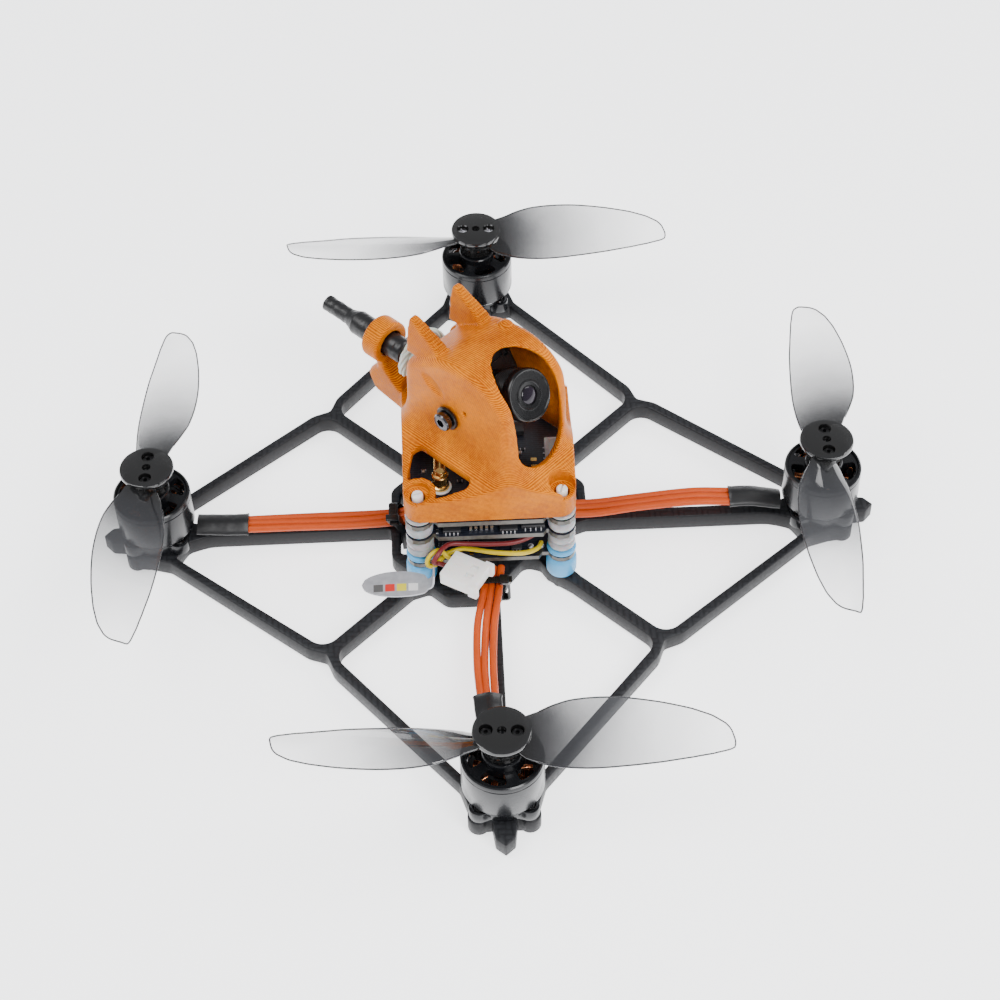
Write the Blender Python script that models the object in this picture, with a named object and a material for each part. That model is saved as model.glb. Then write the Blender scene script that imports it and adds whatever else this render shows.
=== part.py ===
"""Three inch FPV racing quadcopter: carbon ring frame, four motors, board stack, printed canopy.

Sizes below are millimetres and are turned into metres when each mesh is made.
The drone stands in its own frame: nose towards -Y, starboard towards -X, up along +Z.
The origin is the centre of the frame plate's underside. The four arms run at 45 degrees to
the nose, so the plate, the boards and the leads are drawn in an arm frame, whose X and Y axes
lie along two arms, and turned by ARM_TURN.
"""
import math

import bmesh
import bpy
from mathutils import Matrix, Vector

MM = 0.001
TAU = 2 * math.pi
ARM_TURN = math.radians(-45)
GAP = 0.3

# Frame plate
PLATE_TOP = 3.5
EDGE_CHAMFER = 0.3
MOTOR_REACH = 61.8
NOSE_REACH = 72.0
ARM_HALF = 1.25
RING_NODE = 30.0
LOBE_REACH = 5.9
LOBE_RADIUS = 1.9
POST = 12.75

# Motors, heights above the plate's underside
BASE_TOP = 6.5
BELL_RADIUS = 7.05
BELL_BOTTOM = 7.0
BELL_TOP = 14.8
BELL_HUB_TOP = 16.0
BELL_SPOKES = 5
SHAFT_RADIUS = 0.75

# Propellers
PROP_RADIUS = 38.1
PROP_HUB_TOP = 21.7
PROP_HUB_RADIUS = 4.9
PROP_SCREW_REACH = 2.5

# Board stack
BOARD_HALF = 14.4
FLIGHT_BOARD = (8.3, 9.2)
MIDDLE_BOARD = (14.5, 15.5)
VIDEO_BOARD = (18.2, 19.2)
POST_HOLE = 1.85
EAR_RADIUS = 2.5
SLEEVE_RADIUS = 2.5

# Canopy
SKIRT_HALF = 15.3
SKIRT_BOTTOM = 20.4
SHELF_TOP = 25.6
SIDE_HALF = 8.0
CANOPY_WALL = 1.1
TUBE_HEIGHT = 34.1
RING_REACH = 25.4

# Camera
CAMERA_PIVOT = (0.0, 1.1, 36.6)
CAMERA_TILT = math.radians(31)
CAMERA_HALF = 6.6
LENS_TIP = 13.7

# Corner names in arm-frame order: each motor's angle, rotation sense and blade heading
CORNERS = (
    ("front_left", 0, -1, 90.6),
    ("rear_left", 90, 1, -1.4),
    ("rear_right", 180, -1, 87.8),
    ("front_right", 270, 1, -4.0),
)


def clear_scene():
    for obj in list(bpy.data.objects):
        bpy.data.objects.remove(obj, do_unlink=True)


def material(name, colour, roughness, metallic=0.0, alpha=1.0):
    mat = bpy.data.materials.get(name)
    if mat:
        return mat
    mat = bpy.data.materials.new(name)
    mat.use_nodes = True
    shader = mat.node_tree.nodes["Principled BSDF"]
    shader.inputs["Base Color"].default_value = (*colour, 1.0)
    shader.inputs["Roughness"].default_value = roughness
    shader.inputs["Metallic"].default_value = metallic
    shader.inputs["Alpha"].default_value = alpha
    return mat


def carbon():
    return material("carbon_plate", (0.045, 0.047, 0.052), 0.45)


def black_metal():
    return material("black_anodised", (0.012, 0.013, 0.016), 0.22, 0.6)


def copper():
    return material("copper_winding", (0.75, 0.28, 0.12), 0.3, 1.0)


def smoke_plastic():
    return material("smoke_polycarbonate", (0.35, 0.36, 0.38), 0.08, 0.0, 0.45)


def orange_silicone():
    return material("orange_silicone", (0.85, 0.22, 0.06), 0.5)


def black_plastic():
    return material("black_plastic", (0.02, 0.02, 0.022), 0.4)


def blue_rubber():
    return material("blue_rubber", (0.22, 0.62, 0.85), 0.55)


def clear_silicone():
    return material("clear_silicone", (0.75, 0.76, 0.76), 0.35)


def white_nylon():
    return material("white_nylon", (0.85, 0.84, 0.8), 0.4)


def circuit_board():
    return material("circuit_board", (0.012, 0.014, 0.022), 0.4)


def orange_print():
    return material("orange_print", (0.95, 0.33, 0.02), 0.45)


def steel():
    return material("steel_screw", (0.55, 0.55, 0.56), 0.25, 1.0)


def gold():
    return material("gold_plug", (0.85, 0.6, 0.2), 0.25, 1.0)


def wire_colour(name, colour):
    return material(name, colour, 0.45)


def turn(points, angle):
    """Rotate (x, y, ...) tuples about the origin by an angle in radians."""
    c, s = math.cos(angle), math.sin(angle)
    return [(x * c - y * s, x * s + y * c, *rest) for x, y, *rest in points]


def arm_place(x, y, z=0.0):
    """A point given in the arm frame, as a row-frame position in metres."""
    px, py, pz = turn([(x, y, z)], ARM_TURN)[0]
    return Vector((px, py, pz)) * MM


def make_object(name, bm, mat, location=(0.0, 0.0, 0.0), rotation=(0.0, 0.0, 0.0), smooth=35):
    """Make an object in metres from a millimetre bmesh whose faces are turned outwards."""
    bmesh.ops.recalc_face_normals(bm, faces=bm.faces)
    bm.transform(Matrix.Scale(MM, 4))
    mesh = bpy.data.meshes.new(name)
    bm.to_mesh(mesh)
    bm.free()
    mesh.materials.append(mat)
    if smooth:
        mesh.shade_smooth()
        mesh.set_sharp_from_angle(angle=math.radians(smooth))
    return place_mesh(name, mesh, location, rotation)


def place_mesh(name, mesh, location=(0.0, 0.0, 0.0), rotation=(0.0, 0.0, 0.0)):
    """Place a mesh that other objects may share. The location is in metres."""
    obj = bpy.data.objects.new(name, mesh)
    obj.location = location
    obj.rotation_euler = rotation
    bpy.context.scene.collection.objects.link(obj)
    return obj


def make_cutter(name, bm, location=(0.0, 0.0, 0.0), rotation=(0.0, 0.0, 0.0)):
    obj = make_object(name, bm, black_plastic(), location, rotation, smooth=0)
    obj.hide_render = True
    obj.display_type = "WIRE"
    return obj


def boolean(target, other, operation):
    modifier = target.modifiers.new(operation.lower(), "BOOLEAN")
    modifier.operation = operation
    modifier.object = other
    modifier.solver = "EXACT"
    return modifier


def rounded(corners, step=32):
    """Fillet the corners of a closed outline given as (x, y, radius)."""
    outline = []
    count = len(corners)
    for i, (x, y, radius) in enumerate(corners):
        here = Vector((x, y))
        if radius <= 0:
            outline.append((x, y))
            continue
        back = (Vector(corners[i - 1][:2]) - here).normalized()
        ahead = (Vector(corners[(i + 1) % count][:2]) - here).normalized()
        half = back.angle(ahead) / 2
        bisector = (back + ahead).normalized()
        centre = here + bisector * (radius / math.sin(half))
        start = here + back * (radius / math.tan(half)) - centre
        end = here + ahead * (radius / math.tan(half)) - centre
        sweep = start.angle_signed(end)
        pieces = max(1, round(abs(math.degrees(sweep)) / step))
        for k in range(pieces + 1):
            arm = start.copy()
            arm.rotate(Matrix.Rotation(-sweep * k / pieces, 2))
            outline.append(tuple(centre + arm))
    return outline


def arc(cx, cy, radius, start, end, step=32):
    """Points along an arc, with its angles in degrees."""
    pieces = max(1, round(abs(end - start) / step))
    angles = [math.radians(start + (end - start) * k / pieces) for k in range(pieces + 1)]
    return [(cx + radius * math.cos(a), cy + radius * math.sin(a)) for a in angles]


def inset(points, distance):
    """Move a closed outline's points to its left by a distance, mitred at the corners."""
    moved = []
    count = len(points)
    for i in range(count):
        here = Vector(points[i])
        back = (here - Vector(points[i - 1])).normalized()
        ahead = (Vector(points[(i + 1) % count]) - here).normalized()
        normal = Vector((-(back + ahead).y, (back + ahead).x)).normalized()
        scale = max(0.5, normal.dot(Vector((-back.y, back.x))))
        moved.append(tuple(here + normal * (distance / scale)))
    return moved


def area(points):
    return sum(a[0] * b[1] - b[0] * a[1] for a, b in zip(points, points[1:] + points[:1])) / 2


def slab(outline, holes, bottom, top, chamfer=0.0, under_chamfer=0.0):
    """A flat plate with through holes and, when asked, chamfered upper and lower rims."""
    bm = bmesh.new()
    low_edges, high_edges = [], []
    loops = [outline if area(outline) > 0 else outline[::-1]]
    loops += [hole if area(hole) < 0 else hole[::-1] for hole in holes]
    for loop in loops:
        levels = [(loop, bottom + under_chamfer), (loop, top - chamfer)]
        if under_chamfer:
            levels.insert(0, (inset(loop, under_chamfer), bottom))
        if chamfer:
            levels.append((inset(loop, chamfer), top))
        rings = [[bm.verts.new((x, y, z)) for x, y in points] for points, z in levels]
        count = len(loop)
        for lower, upper in zip(rings, rings[1:]):
            for i in range(count):
                j = (i + 1) % count
                bm.faces.new((lower[i], lower[j], upper[j], upper[i]))
        low_edges += [bm.edges.get((rings[0][i], rings[0][i - 1])) for i in range(count)]
        high_edges += [bm.edges.get((rings[-1][i], rings[-1][i - 1])) for i in range(count)]
    bmesh.ops.triangle_fill(bm, edges=low_edges, use_beauty=True)
    bmesh.ops.triangle_fill(bm, edges=high_edges, use_beauty=True)
    return bm


def turned(profile, segments):
    """A solid turned about Z from a closed outline of (radius, height) points."""
    bm = bmesh.new()
    rings = []
    for radius, height in profile:
        steps = segments if radius > 1e-6 else 1
        rings.append([
            bm.verts.new((radius * math.cos(TAU * k / steps), radius * math.sin(TAU * k / steps), height))
            for k in range(steps)
        ])
    for ring, after in zip(rings, rings[1:] + rings[:1]):
        for k in range(segments):
            corners = [ring[k % len(ring)], ring[(k + 1) % len(ring)]]
            corners += [after[(k + 1) % len(after)], after[k % len(after)]]
            face = list(dict.fromkeys(corners))
            if len(face) > 2:
                bm.faces.new(face)
    return bm


def prism(profile, half_width):
    """A side profile of (y, z) points drawn out along X to both sides."""
    bm = bmesh.new()
    sides = [[bm.verts.new((x, y, z)) for y, z in profile] for x in (-half_width, half_width)]
    count = len(profile)
    for i in range(count):
        j = (i + 1) % count
        bm.faces.new((sides[0][i], sides[0][j], sides[1][j], sides[1][i]))
    bm.faces.new(sides[0])
    bm.faces.new(sides[1][::-1])
    return bm


def skin(sections):
    """A closed body through a row of sections that have the same number of points."""
    bm = bmesh.new()
    rings = [[bm.verts.new(point) for point in section] for section in sections]
    count = len(rings[0])
    for ring, after in zip(rings, rings[1:]):
        for i in range(count):
            j = (i + 1) % count
            bm.faces.new((ring[i], ring[j], after[j], after[i]))
    bm.faces.new(rings[0][::-1])
    bm.faces.new(rings[-1])
    return bm


def smooth_route(points, spacing):
    """Evenly spaced points along a smooth curve through a route's own points."""
    knots = [Vector(p) for p in points]
    knots = [knots[0] * 2 - knots[1]] + knots + [knots[-1] * 2 - knots[-2]]
    fine = []
    for p0, p1, p2, p3 in zip(knots, knots[1:], knots[2:], knots[3:]):
        for k in range(20):
            t = k / 20
            fine.append(0.5 * (2 * p1 + (p2 - p0) * t + (2 * p0 - 5 * p1 + 4 * p2 - p3) * t * t
                               + (3 * p1 - p0 - 3 * p2 + p3) * t ** 3))
    fine.append(knots[-2])
    lengths = [0.0]
    for a, b in zip(fine, fine[1:]):
        lengths.append(lengths[-1] + (b - a).length)
    pieces = max(2, round(lengths[-1] / spacing))
    route, k = [], 0
    for i in range(pieces + 1):
        target = lengths[-1] * i / pieces
        while k < len(fine) - 2 and lengths[k + 1] < target:
            k += 1
        span = lengths[k + 1] - lengths[k]
        route.append(fine[k].lerp(fine[k + 1], min(1.0, (target - lengths[k]) / span)))
    return route


def cord(name, route, radius, mat, resolution=2):
    """A round lead with filled ends, along a route in the row frame's millimetres."""
    curve = bpy.data.curves.new(name, "CURVE")
    curve.dimensions = "3D"
    curve.bevel_depth = radius * MM
    curve.bevel_resolution = resolution
    curve.use_fill_caps = True
    points = smooth_route(route, 3 * radius)
    spline = curve.splines.new("POLY")
    spline.points.add(len(points) - 1)
    for point, place in zip(spline.points, points):
        point.co = (*(place * MM), 1.0)
    curve.materials.append(mat)
    obj = bpy.data.objects.new(name, curve)
    bpy.context.scene.collection.objects.link(obj)
    return obj


def arm_route(points):
    """A route given in the arm frame, turned into the row frame."""
    return turn(points, ARM_TURN)


# ---------------------------------------------------------------- frame plate

def outer_sector():
    """The plate's outer edge over one quarter turn, from one nose to just short of the next."""
    half = rounded([
        (NOSE_REACH + 1.2, -1.5, 0.0),
        (NOSE_REACH + 0.1, 0.0, 0.55),
        (70.6, 1.7, 0.8),
        (67.2, 2.15, 0.0),
        (67.0, 2.3, 0.0),
    ])[1:-1]
    angle = math.degrees(math.atan2(1, 1)) + 2
    lobe = (MOTOR_REACH + LOBE_REACH * math.cos(math.radians(angle)),
            LOBE_REACH * math.sin(math.radians(angle)))
    half += arc(*lobe, LOBE_RADIUS, -42, 118)
    half += rounded([
        (65.2, 6.3, 0.0),
        (63.4, 6.15, 1.0),
        (59.4, 7.35, 2.0),
        (33.6, 28.95, 4.0),
        (RING_NODE + 0.2, RING_NODE + 0.2, 1.3),
        (28.95, 33.6, 0.0),
    ])[1:-2]
    half = [(x, y) for x, y in half if y > 0.0 and x >= y]
    other = [(y, x) for x, y in reversed(half)]
    tip = [(NOSE_REACH, 0.0)]
    return tip + half + other


def hole_outline(looped):
    """The triangle between one arm, one ring bar and one diagonal strut."""
    hub = [(12.75, 10.2, 0.0), (10.6, 9.0, 1.2), (9.6, 6.2, 2.0), (13.8, 3.0, 1.5), (18.0, ARM_HALF, 2.0)]
    if looped:
        hub = [(15.2, 11.6, 0.9), (18.4, 8.4, 2.6), (18.4, ARM_HALF, 0.8)]
    rest = [
        (52.5, ARM_HALF, 8.0),
        (56.3, 2.6, 2.0),
        (58.3, 6.25, 0.5),
        (30.6, 28.95, 3.0),
        (16.2, 14.55, 1.0),
    ]
    return rounded(hub + rest)


def slot_outline():
    return rounded([(14.5, 2.0, 0.8), (16.7, 2.0, 0.8), (16.7, 7.6, 0.8), (14.5, 7.6, 0.8)], step=45)


def mirrored(points):
    return [(y, x) for x, y in points]


def build_frame():
    outline = []
    holes = []
    for k in range(4):
        angle = math.radians(90 * k)
        outline += turn(outer_sector(), angle)
        looped = k != 3
        for shape in (hole_outline(looped), mirrored(hole_outline(looped))):
            holes.append(turn(shape, angle))
        if looped:
            holes.append(turn(slot_outline(), angle))
            holes.append(turn(mirrored(slot_outline()), angle))
        holes.append(turn(arc(POST, POST, 1.4, 0, 315, 45), angle))
    bm = slab(outline, holes, 0.0, PLATE_TOP, EDGE_CHAMFER)
    return make_object("frame_plate", bm, carbon(), rotation=(0, 0, ARM_TURN), smooth=25)


# --------------------------------------------------------------------- motors

def motor_base_mesh():
    """Lobed mounting base with its bearing tube."""
    outline = []
    for k in range(4):
        middle = 45 + 90 * k
        outline += arc(0, 0, 5.9, middle - 45, middle - 22, 22)
        centre = (LOBE_REACH * math.cos(math.radians(middle)), LOBE_REACH * math.sin(math.radians(middle)))
        outline += arc(*centre, LOBE_RADIUS - 0.1, middle - 75, middle + 75, 30)
        outline += arc(0, 0, 5.9, middle + 22, middle + 44, 22)
    bm = slab(outline, [arc(0, 0, 1.15, 0, 330, 30)], PLATE_TOP + GAP, BASE_TOP - 0.6)
    disc = turned([(1.15, BASE_TOP - 0.6), (6.3, BASE_TOP - 0.6), (6.3, BASE_TOP), (2.0, BASE_TOP),
                   (2.0, 12.6), (1.15, 12.6)], 24)
    return bm, disc


def stator_bm():
    """Nine wound teeth on a ring."""
    teeth = 9
    outline = []
    for k in range(teeth):
        middle = 360 * k / teeth
        outline += arc(0, 0, 5.5, middle - 15, middle + 15, 15)
        outline += arc(0, 0, 3.6, middle + 17, middle + 23, 12)
    return slab(outline, [arc(0, 0, 2.3, 0, 330, 30)], 7.4, 11.4)


def bell_bm():
    """Outer can, spoked top and shaft in one turned outline, before its windows are cut."""
    return turned([
        (0.0, 20.6), (SHAFT_RADIUS, 20.6), (SHAFT_RADIUS, BELL_HUB_TOP), (3.5, BELL_HUB_TOP - 0.1),
        (3.5, 14.4), (6.5, BELL_TOP), (BELL_RADIUS, BELL_TOP - 0.6), (BELL_RADIUS, BELL_BOTTOM),
        (6.1, BELL_BOTTOM), (6.1, 13.2), (2.4, 13.2), (SHAFT_RADIUS, 12.9), (SHAFT_RADIUS, 4.4), (0.0, 4.4),
    ], 24)


def bell_window(index):
    middle = 360 * (index + 0.5) / BELL_SPOKES
    spread = 360 / BELL_SPOKES / 2 - 9
    outline = arc(0, 0, 5.7, middle - spread, middle + spread, 18)
    outline += arc(0, 0, 3.9, middle + spread - 5, middle - spread + 5, 24)
    return slab(outline, [], 12.8, 15.6)


BLADE_STATIONS = (
    # radius, leading edge offset and height, trailing edge offset and height, thickness
    (2.6, 1.6, 20.2, -1.7, 17.6, 1.6),
    (5.5, 4.0, 20.9, -2.7, 16.9, 1.3),
    (10.0, 6.3, 21.2, -3.6, 16.5, 1.0),
    (16.0, 7.4, 21.0, -3.8, 16.6, 0.9),
    (24.0, 7.3, 20.5, -3.0, 17.1, 0.7),
    (31.5, 5.9, 19.9, -1.9, 17.7, 0.6),
    (36.0, 3.8, 19.4, -1.0, 18.0, 0.55),
    (PROP_RADIUS, 0.8, 18.9, -0.2, 18.2, 0.45),
)


def blade_bm(sense):
    """One cambered blade along +X. A positive sense turns anticlockwise from above."""
    sections = []
    for radius, lead, lead_z, trail, trail_z, thickness in BLADE_STATIONS:
        section = []
        for share, side in ((0.0, 0), (0.3, 1), (0.7, 1), (1.0, 0), (0.7, -1), (0.3, -1)):
            across = lead + (trail - lead) * share
            camber = 0.07 * (lead - trail) * math.sin(math.pi * share)
            height = lead_z + (trail_z - lead_z) * share + camber + side * thickness / 2
            section.append((radius, sense * across, height))
        sections.append(section)
    return skin(sections)


def prop_hub_bm():
    return turned([
        (1.05, PROP_HUB_TOP), (PROP_HUB_RADIUS - 0.25, PROP_HUB_TOP), (PROP_HUB_RADIUS, 21.4),
        (4.8, 20.8), (3.2, 18.2), (3.1, BELL_HUB_TOP + GAP), (1.05, BELL_HUB_TOP + GAP),
    ], 20)


def build_propeller(name, sense, location, heading):
    hub = make_object(name, prop_hub_bm(), smoke_plastic(), location, (0, 0, heading))
    for index in range(2):
        blade = make_cutter(f"{name}_blade_{index}", blade_bm(sense), location,
                            (0, 0, heading + index * math.pi))
        boolean(hub, blade, "UNION")
    for side in (-1, 1):
        bore = turned([(0.0, 22.5), (1.0, 22.5), (1.0, 15.5), (0.0, 15.5)], 12)
        shift = Matrix.Rotation(heading, 3, "Z") @ Vector((side * PROP_SCREW_REACH * MM, 0, 0))
        cutter = make_cutter(f"{name}_bore_{side}", bore, location + shift)
        boolean(hub, cutter, "DIFFERENCE")
    return hub


def build_motors():
    """The four corners: base, stator, bell and propeller, each on its own motor axis."""
    windows = [make_cutter(f"bell_window_{k}", bell_window(k)) for k in range(BELL_SPOKES)]
    stator_mesh = make_object("stator_pattern", stator_bm(), copper()).data
    bpy.data.objects.remove(bpy.data.objects["stator_pattern"])
    for name, degrees, sense, blade_heading in CORNERS:
        angle = math.radians(degrees)
        location = arm_place(MOTOR_REACH * math.cos(angle), MOTOR_REACH * math.sin(angle))
        base_bm, disc_bm = motor_base_mesh()
        base = make_object(f"motor_base_{name}", base_bm, black_metal(), location,
                           (0, 0, ARM_TURN + angle))
        disc = make_cutter(f"motor_disc_{name}", disc_bm, location)
        boolean(base, disc, "UNION")
        place_mesh(f"stator_{name}", stator_mesh, location)
        bell = make_object(f"rotor_bell_{name}", bell_bm(), black_metal(), location)
        for window in windows:
            cutter = place_mesh(f"{window.name}_{name}", window.data, location)
            cutter.hide_render = True
            cutter.display_type = "WIRE"
            boolean(bell, cutter, "DIFFERENCE")
        build_propeller(f"propeller_{name}", sense, location, ARM_TURN + math.radians(blade_heading))
    for window in windows:
        bpy.data.objects.remove(window)


# ---------------------------------------------------------------- motor leads

LEAD_ROUTES = {
    # the middle of each arm's three leads: distance out, offset to the left, height
    "front_left": ((44.6, 0.6, 6.4), (38, 0.7, 6.6), (28, 0.5, 6.0), (20, 0.1, 5.4), (13.5, 0.0, 5.6)),
    "rear_left": ((44.6, 0.0, 5.4), (36, -0.4, 5.5), (26, -0.4, 5.3), (19, 0.0, 5.1), (13.5, 0.0, 5.6)),
    "rear_right": ((44.6, 0.3, 5.3), (36, 0.4, 5.3), (26, 0.3, 5.2), (19, 0.1, 5.1), (13.5, 0.0, 5.6)),
    "front_right": ((42.6, -1.9, 5.6), (36, -2.1, 5.6), (27, -1.6, 5.6), (20, -0.5, 5.4), (13.5, 0.3, 5.8)),
}
LEAD_HALF_WIDTH = 2.1
LEAD_HALF_HEIGHT = 0.75
SHRINK_OUTER_END = 54.4


def oval_sweep(route, half_width, half_height, corners=8):
    """A flat oval ribbon that keeps its width level along a route."""
    sections = []
    for i, place in enumerate(route):
        along = (route[min(i + 1, len(route) - 1)] - route[max(i - 1, 0)]).normalized()
        across = Vector((-along.y, along.x, 0)).normalized()
        rise = along.cross(across)
        sections.append([
            place + across * (half_width * math.cos(TAU * (k + 0.5) / corners))
            + rise * (half_height * math.sin(TAU * (k + 0.5) / corners))
            for k in range(corners)
        ])
    return skin(sections)


def build_leads():
    for name, degrees, _, _ in CORNERS:
        spin = (0, 0, ARM_TURN + math.radians(degrees))
        route = smooth_route(LEAD_ROUTES[name], 4.0)
        bm = oval_sweep(route, LEAD_HALF_WIDTH, LEAD_HALF_HEIGHT)
        make_object(f"motor_leads_{name}", bm, orange_silicone(), rotation=spin)
        inner, offset, height = LEAD_ROUTES[name][0]
        sleeve = [Vector((inner + 2 * GAP, offset, height)), Vector((inner + 5, offset * 0.9, height)),
                  Vector((SHRINK_OUTER_END, offset * 0.3, 5.6))]
        bm = oval_sweep(sleeve, LEAD_HALF_WIDTH + 0.45, LEAD_HALF_HEIGHT + 0.45)
        make_object(f"heat_shrink_{name}", bm, black_plastic(), rotation=spin)


def build_zip_ties():
    """A band through the hub slots, round the arm and its leads, with the head on top."""
    for name, degrees in (("rear_right", 180), ("front_right", 270)):
        spin = (0, 0, ARM_TURN + math.radians(degrees))
        outer = rounded([(-3.3, -0.8, 0.7), (3.3, -0.8, 0.7), (3.3, 7.3, 2.0), (-3.3, 7.3, 2.0)])
        inner = rounded([(-2.8, -0.3, 0.3), (2.8, -0.3, 0.3), (2.8, 6.8, 1.4), (-2.8, 6.8, 1.4)])
        bm = slab(outer, [inner], -0.8, 0.8)
        upright = Matrix(((0, 0, 1, 15.6), (1, 0, 0, 0), (0, 1, 0, 0), (0, 0, 0, 1)))
        bm.transform(upright)
        make_object(f"zip_tie_{name}", bm, black_plastic(), rotation=spin)


# ---------------------------------------------------------------- board stack

def board_bm(bottom, top, notch):
    """A board with a wider middle to each edge and a round ear at each post."""
    outline = []
    for k in range(4):
        side = [(BOARD_HALF, -notch), (BOARD_HALF, notch), (BOARD_HALF - 0.9, notch + 0.6)]
        side += arc(POST, POST, EAR_RADIUS, -72, 162, 26)
        side += [(notch + 0.6, BOARD_HALF - 0.9)]
        outline += turn(side, math.radians(90 * k))
    holes = [arc(x, y, POST_HOLE, 0, 330, 30) for x in (-POST, POST) for y in (-POST, POST)]
    return slab(outline, holes, bottom, top)


def build_boards():
    for name, levels, notch in (("flight_controller_board", FLIGHT_BOARD, 8.6),
                                ("power_board", MIDDLE_BOARD, 9.4),
                                ("video_board", VIDEO_BOARD, 9.4)):
        make_object(name, board_bm(*levels, notch), circuit_board(), rotation=(0, 0, ARM_TURN), smooth=0)


def ribs(bottom, top, count):
    """Radius and height pairs up a ribbed sleeve, bulging once for each rib."""
    pairs = [(SLEEVE_RADIUS - 0.35, bottom)]
    for k in range(count):
        low = bottom + (top - bottom) * k / count
        high = bottom + (top - bottom) * (k + 1) / count
        pairs += [(SLEEVE_RADIUS, (low + high) / 2), (SLEEVE_RADIUS - 0.35, high)]
    return pairs


def build_posts():
    """Four corner posts: blue damper below, clear sleeve above, nylon screw through both."""
    bore = 1.2
    neck = 1.55
    grommet = [(bore, 3.8), (2.3, 3.8), (2.75, 4.3), (2.8, 7.0), (2.6, 8.0), (neck, 8.0),
               (neck, 9.5), (2.55, 9.5), (2.65, 10.0), (2.5, 10.4), (bore, 10.4)]
    sleeve = [(bore, 10.7), *ribs(10.7, 14.2, 2), (neck, 14.2), (neck, 15.8), *ribs(15.8, 17.9, 1),
              (neck, 17.9), (neck, 19.5), (SLEEVE_RADIUS, 19.5), (SLEEVE_RADIUS, 20.1), (bore, 20.1)]
    screw = [(0.0, 0.4), (0.9, 0.4), (0.9, 23.6), (1.25, 23.6), (1.25, 25.2), (1.0, 25.5), (0.0, 25.5)]
    names = ("left", "rear", "right", "front")
    for kind, profile, mat, sides in (("damper_grommet", grommet, blue_rubber(), 12),
                                      ("clear_sleeve", sleeve, clear_silicone(), 12),
                                      ("stack_screw", screw, white_nylon(), 12)):
        mesh = None
        for k, name in enumerate(names):
            x, y, _ = turn([(POST, POST, 0)], math.radians(90 * k))[0]
            if mesh is None:
                mesh = make_object(f"{kind}_{name}", turned(profile, sides), mat, arm_place(x, y)).data
            else:
                place_mesh(f"{kind}_{name}", mesh, arm_place(x, y))


# --------------------------------------------------------------------- canopy

ROOF = ((-13.2, 35.5), (-12.9, 39.0), (-12.2, 42.6), (-11.3, 45.0), (-9.0, 47.5), (-6.0, 48.9), (-2.5, 49.3),
        (3.0, 48.4), (7.0, 46.4), (11.0, 43.6), (12.2, 42.2), (13.0, 39.5))
FLARE = ((13.5, SHELF_TOP), (8.6, SHELF_TOP + 0.4), (5.2, 26.9), (2.4, 28.2), (1.2, 29.8), (0.6, 31.5),
         (0.2, 33.6))
TOWER_FRONT = -13.1
TOWER_REAR = 12.9
TOWER_CORNER = 2.6
EDGE_STATIONS = (-9.0, -6.0, -2.5, 3.0, 7.0)


def roof_height(y):
    for (y0, z0), (y1, z1) in zip(ROOF, ROOF[1:]):
        if y <= y1:
            return z0 + (z1 - z0) * max(0.0, (y - y0) / (y1 - y0))
    return ROOF[-1][1]


def tower_ring(spread):
    """Plan points round the tower's wall, moved outwards by a distance, rear port corner first."""
    radius = TOWER_CORNER + spread
    x = SIDE_HALF - TOWER_CORNER
    front, rear = TOWER_FRONT + TOWER_CORNER, TOWER_REAR - TOWER_CORNER
    port = arc(x, rear, radius, 90, 0, 30) + [(x + radius, y) for y in reversed(EDGE_STATIONS)]
    port += arc(x, front, radius, 0, -90, 30)
    return port + [(-px, py) for px, py in reversed(port)]


def helmet_bm(wall):
    """The shelf, its flare and the tower as one body, drawn in by a wall thickness."""
    rings = [[(x, y, SKIRT_BOTTOM - 3 * wall) for x, y in tower_ring(13.5 - wall)]]
    for spread, height in FLARE:
        rings.append([(x, y, height - wall) for x, y in tower_ring(spread - wall)])
    for spread, drop in ((0.0, 1.5), (-0.25, 0.7), (-0.7, 0.2), (-1.4, 0.0)):
        ring = tower_ring(spread - wall)
        rings.append([(x, y, max(34.4 - wall, roof_height(y) - drop - wall)) for x, y in ring])
    bm = bmesh.new()
    verts = [[bm.verts.new(point) for point in ring] for ring in rings]
    count = len(verts[0])
    for ring, after in zip(verts, verts[1:]):
        for i in range(count):
            j = (i + 1) % count
            bm.faces.new((ring[i], ring[j], after[j], after[i]))
    bm.faces.new(verts[0])
    top = verts[-1]
    for i in range(count // 2 - 1):
        bm.faces.new((top[i], top[i + 1], top[count - 2 - i], top[count - 1 - i]))
    return bm


def square_prism(half, radius, bottom, top):
    corners = [(half, half, radius), (-half, half, radius), (-half, -half, radius), (half, -half, radius)]
    bm = slab(rounded(corners, step=30), [], bottom, top)
    bm.transform(Matrix.Rotation(ARM_TURN, 4, "Z"))
    return bm


def inner_skirt_bm():
    """The hollow's plan, with its corners cut off to leave the screw bosses."""
    half, cut = SKIRT_HALF - CANOPY_WALL, 7.6
    corners = []
    for k in range(4):
        corners += turn([(half, half - cut, 0.6), (half - cut, half, 0.6)], math.radians(90 * k))
    bm = slab(rounded(corners, step=45), [], SKIRT_BOTTOM - 2, 60)
    bm.transform(Matrix.Rotation(ARM_TURN, 4, "Z"))
    return bm


def holder_bm():
    """The tail that carries the antenna ring: wide at the skirt, narrow under the ring."""
    sections = []
    for x, shrink in ((-2.6, 1.0), (-1.7, 0.0), (1.7, 0.0), (2.6, 1.0)):
        outline = rounded([(15.5, 20.4, 0), (19.0, 21.4, 2.0), (26.2, 22.6, 1.8), (28.1, 26.6, 2.0),
                           (25.0, 29.4, 0.8), (27.0, 32.2, 0), (23.8, 32.2, 0), (22.8, 29.6, 1.2),
                           (19.8, 26.8, 2.0), (15.5, 25.2, 0)], step=30)
        if shrink:
            outline = inset(outline, shrink * 0.6)
        sections.append([(x, y, z) for y, z in outline])
    return skin(sections)


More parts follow.
